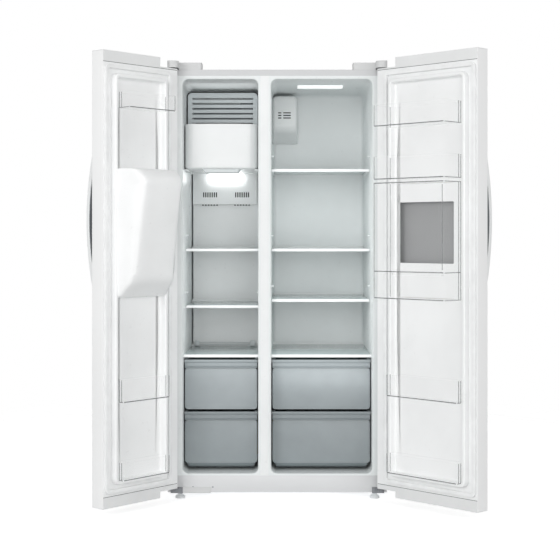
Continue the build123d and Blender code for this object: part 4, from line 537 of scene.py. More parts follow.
class Shader(Wiring):
    """One material being wired, with its coordinates and its main shader."""

    middle = (0.3, 0.7)     # the span that nearly all of a noise lies in

    def __init__(self, name: str) -> None:
        """Start an empty material of that name.

        Args:
            name: name of the material.
        """
        self.material = bpy.data.materials.new(name)
        self.material.use_nodes = True
        super().__init__(self.material.node_tree)
        self.output = self.add("OutputMaterial")
        self.main = self.add("BsdfPrincipled")
        self.links.new(self.main.outputs[0], self.output.inputs[0])
        self.place = self.add("TexCoord").outputs["Object"]

    def stretched(self, scale: tuple[float, float, float]) -> Socket:
        """Object coordinates multiplied by a scale in each direction."""
        mapping = self.add("Mapping", Scale=scale)
        self.links.new(self.place, mapping.inputs["Vector"])
        return mapping.outputs[0]

    def noise(self, waves: float, detail: float = 2.0, place: Socket | None = None) -> Socket:
        """Smooth random value between 0 and 1, with so many waves to the metre."""
        noise = self.add("TexNoise", Scale=waves, Detail=detail)
        self.links.new(place or self.place, noise.inputs["Vector"])
        return noise.outputs[0]

    def cells(self, count: float) -> Socket:
        """A random value for each cell of a crystal pattern, so many cells to the metre."""
        cells = self.add("TexVoronoi", Scale=count)
        self.links.new(self.place, cells.inputs["Vector"])
        return cells.outputs["Color"]

    def ranged(
        self, source: Socket, start: float, end: float, low: float = 0.0, high: float = 1.0
    ) -> Socket:
        """A value between a start and an end, mapped to a range from low to high."""
        node = self.add("MapRange", From_Min=start, From_Max=end, To_Min=low, To_Max=high)
        self.links.new(source, node.inputs["Value"])
        return node.outputs[0]

    def spread(self, source: Socket, low: float, high: float) -> Socket:
        """The middle of a random value stretched over a range."""
        return self.ranged(source, *self.middle, low, high)

    def blend(self, share: Socket, first: tuple | Socket, second: tuple | Socket) -> Socket:
        """A colour between two, by a share.

        Args:
            share: 0 gives the first and 1 the second.
            first: a colour or a varying colour.
            second: another one.

        Returns:
            The socket that carries the colour.
        """
        mix = self.add("Mix")
        mix.data_type = "RGBA"
        self.links.new(share, mix.inputs[0])
        for socket, value in ((mix.inputs[6], first), (mix.inputs[7], second)):
            if isinstance(value, Socket):
                self.links.new(value, socket)
            else:
                socket.default_value = value
        return mix.outputs[2]

    def mottled(self, waves: float, detail: float, first: tuple, second: tuple) -> Socket:
        """A colour that drifts between two, with so many waves to the metre."""
        return self.blend(self.spread(self.noise(waves, detail), 0, 1), first, second)

    def edges(self, low: float, high: float) -> Socket:
        """0 on flat ground and in hollows, rising to 1 on outward edges: the mask for painted edge highlights
        and shade.
        """
        return self.ranged(self.add("NewGeometry").outputs["Pointiness"], low, high)

    def relief(self, height: Socket, depth: float) -> None:
        """Raise and lower the surface by a value, the depth in metres.

        Args:
            height: the value that the surface follows.
            depth: rise of the surface from 0 to 1, in metres.
        """
        bump = self.add("Bump", Strength=1.0, Distance=depth)
        self.links.new(height, bump.inputs["Height"])
        previous = self.main.inputs["Normal"]
        if previous.is_linked:
            self.links.new(previous.links[0].from_socket, bump.inputs["Normal"])
        self.links.new(bump.outputs[0], previous)

    def feed(self, socket: str, source: Socket) -> None:
        """Link a varying value to the main shader."""
        self.links.new(source, self.main.inputs[socket])

    def roughen(self, source: Socket, low: float, high: float) -> None:
        """Let the roughness follow a random value over a range."""
        self.feed("Roughness", self.spread(source, low, high))

    def set(self, socket: str, value: float | tuple) -> None:
        """Set a constant on the main shader."""
        self.main.inputs[socket].default_value = value


@dataclass(frozen=True)
class Paint:
    """Baked enamel on steel sheet: faint orange peel, a gloss coat, and a painted highlight on its outward
    edges.
    """

    name: str
    colour: Colour
    gloss: Gloss = Gloss.SILK
    peel: float = 0.035
    cloud_waves: float = 3.0
    mark_waves: float = 28.0
    peel_waves: float = 420.0

    def build(self) -> bpy.types.Material:
        """Wire the enamel's colour, peel and coat.

        Returns:
            The finished material.
        """
        shader = Shader(self.name)
        # outward edges painted brighter: a painted highlight
        edge_highlight = tone(*(min(value * 1.03 + 3, 252) for value in self.colour))
        cloudy = shader.mottled(self.cloud_waves, 3.0, tone(*self.colour), shaded(self.colour, 0.975))
        shader.feed("Base Color", shader.blend(shader.edges(0.53, 0.6), cloudy, edge_highlight))
        rough = self.gloss.value
        shader.roughen(shader.noise(self.mark_waves, 4.0), rough - 0.05, rough + 0.06)
        shader.relief(shader.noise(self.peel_waves, 1.0), self.peel * MM)
        shader.set("Coat Weight", 0.25)
        shader.set("Coat Roughness", 0.12)
        return shader.material


@dataclass(frozen=True)
class Plastic:
    """Moulded plastic: spark-eroded grain, slight clouding, handling marks in its gloss."""

    name: str
    colour: Colour
    gloss: Gloss = Gloss.SATIN
    grain: float = 0.02
    cloud_waves: float = 5.0
    mark_waves: float = 60.0
    grain_waves: float = 1400.0
    sink_waves: float = 40.0

    def build(self) -> bpy.types.Material:
        """Wire the moulding's colour, gloss and grain.

        Returns:
            The finished material.
        """
        shader = Shader(self.name)
        cloudy = shader.mottled(self.cloud_waves, 4.0, tone(*self.colour), shaded(self.colour, 0.97))
        shader.feed("Base Color", cloudy)
        rough, marks = self.gloss.value, 0.07
        shader.roughen(shader.noise(self.mark_waves, 5.0), rough - marks, rough + marks)
        shader.relief(shader.noise(self.grain_waves), self.grain * MM)
        shader.relief(shader.noise(self.sink_waves), 2 * self.grain * MM)
        return shader.material


@dataclass(frozen=True)
class Clear:
    """Clear or smoked plastic or glass: it covers more where it is seen edge on.

    Face and rim are how much it covers seen square on and edge on; the edge colour is painted on
    its outward roundings, a painted highlight where it is lighter than the tint and painted shade
    where it is darker; the flow is the depth of its flow lines in millimetres; without shades, it
    lets all light past to what stands behind it.
    """

    name: str
    colour: Colour
    face: float
    rim: float
    edge: Colour
    gloss: Gloss = Gloss.SHINY
    flow: float = 0.01
    shades: bool = True
    cloud_waves: float = 14.0
    mark_waves: float = 45.0
    flow_waves: float = 9.0
    ripple_waves: float = 260.0

    def build(self) -> bpy.types.Material:
        """Wire the tint, the see-through share and the faint flow lines.

        Returns:
            The finished material.
        """
        shader = Shader(self.name)
        plain = shader.mottled(self.cloud_waves, 3.0, tone(*self.colour), shaded(self.colour, 0.96))
        # edge colour on the outward roundings: painted highlight where lighter, painted shade where darker
        shader.feed("Base Color", shader.blend(shader.edges(0.52, 0.58), plain, tone(*self.edge)))
        facing = shader.add("LayerWeight", Blend=0.5).outputs["Facing"]
        shader.feed("Alpha", shader.ranged(facing, 0.3, 0.8, self.face, self.rim))
        rough = self.gloss.value
        shader.roughen(shader.noise(self.mark_waves, 3.0), rough * 0.85, rough * 1.15)
        shader.relief(shader.noise(self.flow_waves, 3.0), self.flow * 4 * MM)
        shader.relief(shader.noise(self.ripple_waves, 1.0), self.flow * 0.2 * MM)
        shader.set("IOR", 1.49)
        shader.set("Specular IOR Level", 0.6)
        shader.material.surface_render_method = "BLENDED"
        return shader.material


@dataclass(frozen=True)
class Metal:
    """Bare, plated or coated metal: rolling lines or zinc crystals, and a painted highlight on its edges."""

    name: str
    colour: Colour
    gloss: Gloss = Gloss.SILK
    metallic: float = 1.0
    lines: tuple[float, float, float] = (400.0, 20.0, 20.0)
    crystals: float = 0.0

    def build(self) -> bpy.types.Material:
        """Wire the metal's colour, lines or crystals and gloss.

        Returns:
            The finished material.
        """
        shader = Shader(self.name)
        if self.crystals:
            pattern = shader.cells(self.crystals)
        else:
            pattern = shader.noise(1.0, 3.0, shader.stretched(self.lines))
        dull = shaded(self.colour, 0.86)
        colour = shader.blend(shader.spread(pattern, 0, 1), tone(*self.colour), dull)
        # outward edges painted brighter: a painted highlight
        edge_light = tone(*(min(value * 1.15, 250) for value in self.colour))
        shader.feed("Base Color", shader.blend(shader.edges(0.52, 0.6), colour, edge_light))
        shader.roughen(pattern, self.gloss.value - 0.06, self.gloss.value + 0.1)
        shader.relief(pattern, 0.02 * MM)
        shader.set("Metallic", self.metallic)
        return shader.material


@dataclass(frozen=True)
class Rubber:
    """Soft gasket or rubber: matt, with a fine skin and a trace of dust."""

    name: str
    colour: Colour
    dust_waves: float = 22.0
    mark_waves: float = 120.0
    skin_waves: float = 900.0

    def build(self) -> bpy.types.Material:
        """Wire the rubber's colour, dust and skin.

        Returns:
            The finished material.
        """
        shader = Shader(self.name)
        dusty = shader.mottled(self.dust_waves, 5.0, tone(*self.colour), shaded(self.colour, 0.96))
        shader.feed("Base Color", dusty)
        shader.roughen(shader.noise(self.mark_waves, 3.0), 0.55, 0.75)
        shader.relief(shader.noise(self.skin_waves), 0.03 * MM)
        shader.set("Sheen Weight", 0.15)
        return shader.material


@dataclass(frozen=True)
class Foam:
    """Blown insulation: a cellular skin with swollen patches."""

    name: str
    colour: Colour
    patch_waves: float = 18.0
    mark_waves: float = 80.0
    cell_waves: float = 500.0
    swell_waves: float = 30.0

    def build(self) -> bpy.types.Material:
        """Wire the foam's cells and patches.

        Returns:
            The finished material.
        """
        shader = Shader(self.name)
        patchy = shader.mottled(self.patch_waves, 6.0, tone(*self.colour), shaded(self.colour, 0.85))
        shader.feed("Base Color", patchy)
        shader.roughen(shader.noise(self.mark_waves), 0.75, 0.95)
        shader.relief(shader.noise(self.cell_waves, 3.0), 0.3 * MM)
        shader.relief(shader.noise(self.swell_waves, 3.0), 1.5 * MM)
        return shader.material


@dataclass(frozen=True)
class LampLens:
    """Lit diffuser: frosted plastic that glows evenly."""

    name: str
    colour: Colour
    strength: float
    frost: Colour = (244, 248, 248)
    frost_waves: float = 90.0
    mark_waves: float = 200.0
    skin_waves: float = 700.0

    def build(self) -> bpy.types.Material:
        """Wire the frosted colour and its glow.

        Returns:
            The finished material.
        """
        shader = Shader(self.name)
        base = tone(*self.colour)
        shader.feed("Base Color", shader.mottled(self.frost_waves, 2.0, base, tone(*self.frost)))
        shader.roughen(shader.noise(self.mark_waves), 0.35, 0.5)
        shader.relief(shader.noise(self.skin_waves, 1.0), 0.04 * MM)
        shader.set("Emission Color", base)
        shader.set("Emission Strength", self.strength)
        return shader.material


class Look(Enum):
    """Every finish on the refrigerator."""

    WHITE_STEEL = Paint("white_enamel", (244, 245, 245))
    # the white enamel painted grey for the top panel: painted shade
    ROOF_SHADED_STEEL = Paint("roof_enamel_painted_shade", (198, 199, 200), Gloss.SATIN)
    # a darker copy of the white enamel for the kick plate: painted shade
    KICK_SHADED_STEEL = Paint("kick_plate_painted_shade", (209, 210, 211), Gloss.SATIN)
    GALVANISED = Metal("galvanised_sheet", (196, 199, 202), Gloss.SATIN, 0.9, crystals=70.0)
    ZINC = Metal("zinc_plate", (150, 152, 156), Gloss.SATIN)
    HINGE_ZINC = Metal("passivated_zinc", (112, 114, 117), Gloss.SATIN)
    ALUMINIUM = Metal("drawn_aluminium", (205, 208, 212), Gloss.SILK)
    BLACK_STEEL = Paint("black_enamel", (38, 39, 42), Gloss.SATIN, 0.06)
    # greyer, faintly green-blue copy of the door liner's white; its greyness is painted shade
    LINER = Plastic("liner_plastic", (232, 236, 236), Gloss.SILK, 0.01)
    DOOR_LINER = Plastic("door_liner_plastic", (250, 251, 251), Gloss.SILK, 0.01)
    WHITE_PLASTIC = Plastic("white_plastic", (238, 240, 240), Gloss.SILK, 0.012)
    CAP_PLASTIC = Plastic("end_cap_plastic", (236, 237, 237), Gloss.SATIN, 0.03)
    GREY_PLASTIC = Plastic("light_grey_plastic", (214, 219, 220), Gloss.SATIN, 0.02)
    # a darker copy of the white plastic for the hinge covers: painted shade
    COVER_SHADED_PLASTIC = Plastic("hinge_cover_painted_shade", (212, 213, 213), Gloss.SATIN, 0.03)
    # a darker copy of the light grey plastic for the ice maker grille: painted shade
    GRILLE_SHADED_PLASTIC = Plastic("grille_plastic_painted_shade", (199, 206, 208), Gloss.SATIN, 0.02)
    BAR_PLASTIC = Plastic("bar_door_plastic", (154, 155, 156), Gloss.SATIN, 0.012)
    DARK_PLASTIC = Plastic("dark_grey_plastic", (118, 123, 127), Gloss.SATIN, 0.03)
    GASKET = Rubber("gasket_rubber", (248, 249, 249))
    # dark strip colour in the joints of the doors' end caps: painted shade
    SEAM_SHADE = Rubber("seam_painted_shade", (96, 98, 100))
    CLEAR = Clear("clear_plastic", (252, 253, 253), 0.04, 0.14, (246, 248, 248), Gloss.SHINY, 0.004, False)
    # dark see-through strips on the clear boxes' edges: painted shade for their dark outlines
    CLEAR_EDGE_SHADE = Clear("clear_edge_painted_shade", (112, 116, 118), 0.62, 0.85, (96, 100, 102), shades=False)
    # smoked drawer plastic; its lighter edge colour is a painted highlight on the roundings
    SMOKE = Clear("smoked_plastic", (160, 168, 171), 0.94, 0.98, (196, 203, 205), Gloss.SILK, 0.002)
    # darker copy of the smoked plastic for the lower drawers: painted shade
    SMOKE_LOW_SHADED = Clear("smoked_plastic_low_painted_shade", (144, 152, 155), 0.94, 0.98, (188, 196, 198), Gloss.SILK, 0.002)
    # darker copy of the smoked plastic for the upper crisper: painted shade against the fridge lamp's light
    SMOKE_WIDE_SHADED = Clear("smoked_plastic_wide_painted_shade", (149, 157, 160), 0.94, 0.98, (190, 198, 200), Gloss.SILK, 0.002)
    # darker copy of the smoked plastic for the drawer grips: painted shade
    SMOKE_GRIP_SHADED = Clear("smoked_grip_painted_shade", (108, 116, 119), 0.95, 0.98, (136, 144, 147), Gloss.SILK, 0.002)
    # darker copy of the smoked plastic for the drawer tubs, darker still at the edges: painted shade
    SMOKE_TUB_SHADED = Clear("smoked_tub_painted_shade", (128, 138, 141), 0.9, 0.97, (110, 120, 122), Gloss.SILK, 0.002)
    GLASS = Clear("shelf_glass", (214, 226, 226), 0.28, 0.9, (190, 205, 205), Gloss.GLASSY, 0.0)
    LAMP = LampLens("lamp_diffuser", (250, 252, 252), 0.6)
    FREEZER_LAMP = LampLens("freezer_lamp_diffuser", (250, 252, 252), 3.8)
    FOAM = Foam("insulation_foam", (226, 206, 150))
    # matt black for the dark vent blocks and slot strips, painted shade, and for the dark strip round the
    # grille
    BLACK_MATT = Rubber("black_matt", (15, 15, 16))


class Palette:
    """Makes each finish's material once."""

    def __init__(self) -> None:
        """Start with no materials."""
        self.made: dict[Look, bpy.types.Material] = {}

    def material(self, look: Look) -> bpy.types.Material:
        """The material of a finish."""
        if look not in self.made:
            self.made[look] = look.value.build()
        return self.made[look]


class Assembly:
    """Pieces that are built and dressed together."""

    title = "assembly"

    def __init__(self, palette: Palette) -> None:
        """Keep the palette that the pieces take their finishes from."""
        self.palette = palette

    def dress(self, piece: bpy.types.Object, look: Look) -> bpy.types.Object:
        """Give a piece one finish."""
        piece.data.materials.clear()
        piece.data.materials.append(self.palette.material(look))
        return piece

    def fit(
        self,
        piece: bpy.types.Object,
        look: Look,
        body: str,
        replaces: tuple[str, ...] = (),
    ) -> bpy.types.Object:
        """Dress a piece and seat it on its body.

        A clear finish that doesn't shade leaves the piece out of shadows and bounced light.

        Args:
            piece: the finished mesh object.
            look: its finish.
            body: the body that it moves with.
            replaces: solid nodes that it stands for.

        Returns:
            The same piece.
        """
        self.dress(piece, look)
        if isinstance(look.value, Clear) and not look.value.shades:
            piece.visible_shadow = piece.visible_diffuse = False
        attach(piece, body)
        if replaces:
            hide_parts(*replaces)
        LOG.info("%s: %s on %s", self.title, piece.name, body)
        return piece

    def make(
        self,
        name: str,
        surfaces: list[Surface],
        look: Look,
        body: str,
        slot: str,
        replaces: tuple[str, ...] = (),
    ) -> bpy.types.Object:
        """Make a piece of closed surfaces, dress it and seat it on its body, as fit does."""
        return self.fit(new_piece(name, surfaces), look, body, replaces)

    def keep(self, node: str, look: Look) -> None:
        """Show a solid node as it is, with a finish."""
        self.dress(frame["nodes"][node], look)
        LOG.info("%s: node %s kept", self.title, node)

    def soften(self, node: str, edge: float, look: Look, slot: str, segments: int = 2) -> None:
        """Show a solid node as a copy with rounded edges."""
        body = frame["nodes"][node]["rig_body"]
        self.fit(softened(node, edge, segments), look, body, (node,))

    def soften_all(self, pieces: tuple[tuple[str, float, Look, str], ...]) -> None:
        """Soften several nodes: their names, roundings in millimetres, finishes and slots."""
        for node, edge, look, slot in pieces:
            self.soften(node, edge * MM, look, slot)


# ---------------------------------------------------------------- cabinet
def strip(low: Array, high: Array, edge: float, corner: float, seat: Seat) -> Surface:
    """A soft block given in the refrigerator's axes, with its long edges along a seat's third."""
    ends = seat.local(np.array([low, high]))
    block = soft_block(ends.min(axis=0), ends.max(axis=0), edge, corner)
    return Surface(seat.place(block.points), block.quads, block.caps)


def extruded(outline: Array, start: float, end: float) -> Surface:
    """A closed outline carried straight along the third direction."""
    rings = np.repeat(outline[None], 2, axis=0)
    height = np.broadcast_to(np.array([start, end])[:, None, None], (2, len(outline), 1))
    return lofted(np.concatenate([rings, height], axis=2))


@dataclass
class CabinetShell(Assembly):
    """Steel case, back, kick plate and the strip between the compartments."""

    palette: Palette
    sheet: float = 1.0 * MM
    fold: float = 3.0 * MM
    lip: float = 38.0 * MM
    screw_places: tuple[float, float] = (-344.0 * MM, -263.5 * MM)
    screw_height: float = 53.0 * MM
    groove: float = 2.5 * MM
    groove_depth: float = 0.6 * MM
    title = "cabinet shell"

    def side_sheet(self, box: Box, sign: int) -> Surface:
        """A side sheet and its front return: an L folded with a round corner, carried up.

        Args:
            box: box of the side panel.
            sign: -1 for the left side and 1 for the right.

        Returns:
            The closed surface.
        """
        x = box.low[0] if sign < 0 else box.high[0]
        front, back = box.low[1], box.high[1]
        w = self.sheet
        edge, inside = x - sign * self.lip, x - sign * w
        outer = np.array([[edge, front], [x, front], [x, back]])
        inner = np.array([[inside, back], [inside, front + w], [edge, front + w]])
        outline = np.vstack([eased(outer, self.fold, 5), eased(inner, self.fold - w, 5)])
        return extruded(outline, box.low[2], box.high[2])

    def build(self) -> None:
        """Build and dress the case."""
        left, right = sorted(solid_boxes("side_panels"), key=lambda box: box.low[0])
        sheets = [self.side_sheet(left, -1), self.side_sheet(right, 1)]
        self.make("side_sheets", sheets, Look.WHITE_STEEL, "cabinet", "white_steel", ("side_panels",))
        # the top panel takes a grey copy of the white enamel: painted shade
        self.soften("top_panel", 0.4 * MM, Look.ROOF_SHADED_STEEL, "white_steel")
        self.keep("back_panel", Look.GALVANISED)
        self.keep("cabinet_foam", Look.FOAM)
        self.kick_plate()
        self.mullion()

    def kick_plate(self) -> None:
        """The plate under the doors, with soft edges, and its two screws with hollow heads."""
        box = node_box("kick_plate")
        edge = self.sheet / 2
        plate = strip(box.low, box.high, edge, edge, SIDEWAYS)
        # the kick plate takes a darker copy of the white enamel: painted shade
        self.make("kick_plate_sheet", [plate], Look.KICK_SHADED_STEEL, "cabinet", "white_steel", ("kick_plate",))
        rim = [[0.0, 0.0], [3.2, 0.0], [3.8, 0.4], [3.4, 1.0]]
        recess = [[1.6, 1.3], [1.2, 0.7], [0.0, 0.7]]
        head = turned(np.array(rim + recess) * MM, np.zeros(3), 20)
        forward = head.points[:, [0, 2, 1]] * np.array([1, -1, 1])
        screws = [
            Surface(np.array([x, box.low[1], self.screw_height]) + forward, head.quads, head.caps)
            for x in self.screw_places
        ]
        self.make("kick_plate_screws", screws, Look.ZINC, "cabinet", "zinc")

    def mullion(self) -> None:
        """The strip between the compartments: flat, with a groove along each side."""
        box = node_box("mullion_strip")
        y0, y1 = box.low[1], box.high[1]
        bottom = y0 + self.groove_depth
        steps = np.array([[0, y1], [0, y0], [1, y0], [1, bottom], [2, bottom], [2, y0]])
        left = steps * np.array([self.groove, 1]) + np.array([box.low[0], 0])
        right = steps[::-1] * np.array([-self.groove, 1]) + np.array([box.high[0], 0])
        body = extruded(np.vstack([left, right]), box.low[2], box.high[2])
        self.make("mullion_cover", [body], Look.WHITE_PLASTIC, "cabinet", "white_plastic", ("mullion_strip",))


@dataclass(frozen=True)
class Room:
    """The open space of one compartment."""

    prefix: str
    x0: float
    x1: float
    floor: float
    ceiling: float
    front: float
    back: float
    step_front: float
    step_top: float


def room_of(prefix: str, cover: str, drawer: str) -> Room:
    """Work out a compartment's space from the solids that fit in it.

    Args:
        prefix: freezer or fridge.
        cover: node of the glass cover, which fits between the side walls.
        drawer: node of the lowest drawer, which stands in front of the step.

    Returns:
        The compartment's room.
    """
    liner = node_box(f"{prefix}_liner")
    plate = node_box(cover)
    sill, behind_drawer, wall = 8.0 * MM, 8.0 * MM, 1.5 * MM
    return Room(
        prefix,
        plate.low[0] - SEAT_GAP,
        plate.high[0] + SEAT_GAP,
        liner.low[2] + sill,
        node_box("lamp_covers").high[2],
        liner.low[1],
        liner.high[1] - wall,
        node_box(drawer).high[1] + behind_drawer,
        node_box("freezer_duct_panel").low[2],
    )


@dataclass
class CompartmentLiner(Assembly):
    """One moulded liner: rounded walls, a step over the machine bay, ledges and rails."""

    palette: Palette
    room: Room
    shelves: tuple[str, ...]
    cover: str
    drawers: tuple[str, ...]
    wall: float = 1.5 * MM
    corner: float = 24.0 * MM
    cove: float = 18.0 * MM
    lip: float = 5.0 * MM
    step_round: float = 18.0 * MM
    ledge_width: float = 9.0 * MM
    ledge_height: float = 6.0 * MM
    stub_rise: float = 62.0 * MM
    stub_height: float = 5.0 * MM
    rail_width: float = 11.5 * MM
    rail_height: float = 10.0 * MM
    rail_drop: float = 4.3 * MM
    rail_start: float = 22.0 * MM
    bucket_ledge: float = 15.0 * MM
    bucket_start: float = 28.0 * MM
    chute_drop: float = 14.0 * MM
    title = "compartment liner"

    def shell(self) -> Surface:
        """The shell: rounded rectangles from the back wall forward, round the mouth and back.

        The floor's height follows a line over the step; the first rings draw in along a
        quarter circle to the back wall, and the mouth's edge flares along another.

        Returns:
            The closed surface, drawn across, up and back.
        """
        room = self.room
        mouth = room.front + self.lip
        line = eased(
            np.array(
                [
                    [room.back - self.cove, room.step_top],
                    [room.step_front, room.step_top],
                    [room.step_front, room.floor],
                    [mouth, room.floor],
                ]
            ),
            self.step_round,
            5,
        )
        turn = np.linspace(0, QUARTER, 6)
        inset = self.cove * (1 - np.sin(turn))
        cove_y = room.back - self.cove * (1 - np.cos(turn))
        grow = np.concatenate([-inset, np.zeros(len(line) - 1)])
        depth = np.concatenate([cove_y, line[1:, 0]])
        low = np.concatenate([np.full(6, room.step_top), line[1:, 1]])
        flare = self.lip * (1 - np.cos(turn[1:]))
        grow = np.concatenate([grow, flare])
        depth = np.concatenate([depth, room.front + self.lip * (1 - np.sin(turn[1:]))])
        low = np.concatenate([low, np.full(5, room.floor)])
        inner = self.rows(grow, low, depth)
        outer = self.rows(grow + self.wall, low, depth + self.wall)[::-1]
        box = node_box(f"{room.prefix}_liner")
        sharp = 0.5 * MM
        rim = [box.low[0], box.high[0], box.low[2], box.high[2]]
        flange = np.array(
            [[*rim, room.front, sharp, sharp], [*rim, room.front + self.wall, sharp, sharp]]
        )
        rows = np.vstack([inner, flange, outer])
        return lofted(rounded_rings(rows, 7, 2))

    def rows(self, grow: Array, low: Array, depth: Array) -> Array:
        """Rows for rounded_rings from the outset, floor height and depth of each ring.

        Args:
            grow: outset of each ring from the room's walls.
            low: height of the floor at each ring.
            depth: place of each ring from front to back.

        Returns:
            (m, 7) rows.
        """
        room = self.room
        radius = np.maximum(self.corner + grow, 1.0 * MM)
        columns = [room.x0 - grow, room.x1 + grow, low - grow, room.ceiling + grow, depth, radius, radius]
        return np.stack(columns, axis=1)

    def ledge_pair(self, width: float, y0: float, y1: float, top: float, height: float) -> list[Surface]:
        """A ledge with soft edges on each side wall.

        Args:
            width: how far the ledges stand out of the walls.
            y0: their front end.
            y1: their rear end.
            top: height of their upper face.
            height: their own height.

        Returns:
            The left and the right ledge.
        """
        room = self.room
        root = self.wall / 2
        left = (np.array([room.x0 - root, y0, top - height]), np.array([room.x0 + width, y1, top]))
        right = (np.array([room.x1 - width, y0, top - height]), np.array([room.x1 + root, y1, top]))
        return [strip(low, high, 2.0 * MM, 2.0 * MM, FRONTAL) for low, high in (left, right)]

    def ledges(self) -> list[Surface]:
        """Ledges and short upper stubs for the shelves, a ledge for the cover, drawer rails.

        Returns:
            The ledges, two for each piece that they carry and two stubs for each shelf.
        """
        parts: list[Surface] = []
        under = TAIL_RISE + GLASS
        width, height = self.ledge_width, self.ledge_height
        for node in self.shelves:
            box = node_box(node)
            top = box.high[2] - under - SEAT_GAP
            start = box.low[1] + TRIM_DEPTH
            end = start + 3 * TRIM_DEPTH
            parts += self.ledge_pair(width, start, box.high[1], top, height)
            parts += self.ledge_pair(width, start, end, top + self.stub_rise, self.stub_height)
        box = node_box(self.cover)
        start = box.low[1] + TRIM_DEPTH
        parts += self.ledge_pair(width, start, box.high[1], box.high[2] - under, height)
        for node in self.drawers:
            box = node_box(node)
            start, top = box.low[1] + self.rail_start, box.high[2] - self.rail_drop
            parts += self.ledge_pair(self.rail_width, start, box.high[1], top, self.rail_height)
        if self.room.prefix == "freezer":
            box = node_box("ice_bucket")
            start, top = box.low[1] + self.bucket_start, box.low[2] + self.chute_drop - SEAT_GAP
            parts += self.ledge_pair(self.bucket_ledge, start, box.high[1], top, height)
        return parts

    def build(self) -> None:
        """Build and dress the liner."""
        shell = self.shell()
        body = Surface(FRONTAL.place(shell.points), shell.quads, shell.caps)
        node = f"{self.room.prefix}_liner"
        # the compartment liner takes the greyer copy of the liner white: painted shade
        self.make(f"{node}_shell", [body, *self.ledges()], Look.LINER, "cabinet", "white_liner", (node,))


@dataclass
class Shelf(Assembly):
    """A glass shelf with its front trim and its raised rear trim."""

    palette: Palette
    node: str
    height: float = 12.0 * MM
    rise: float = 1.0 * MM
    title = "shelf"

    def build(self) -> None:
        """Build the glass and its two trims."""
        box = node_box(self.node)
        x0, y0, _ = box.low
        x1, y1, crest = box.high
        top = crest - TAIL_RISE
        under = top - GLASS
        nose = top + self.rise
        half = TRIM_DEPTH / 2
        body = frame["nodes"][self.node]["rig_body"]
        low, high = np.array([x0, y0 + half, under]), np.array([x1, y1 - half / 2, top])
        glass = strip(low, high, 0.7 * MM, 0.7 * MM, SIDEWAYS)
        self.make(f"{self.node}_glass", [glass], Look.GLASS, body, "shelf_glass", (self.node,))
        low, high = np.array([x0, y0, nose - self.height]), np.array([x1, y0 + TRIM_DEPTH, nose])
        front = strip(low, high, 1.2 * MM, 4.0 * MM, SIDEWAYS)
        low, high = np.array([x0, y1 - half, under]), np.array([x1, y1, crest])
        rear = strip(low, high, 1.0 * MM, 2.0 * MM, SIDEWAYS)
        self.make(f"{self.node}_trims", [front, rear], Look.WHITE_PLASTIC, body, "white_plastic")


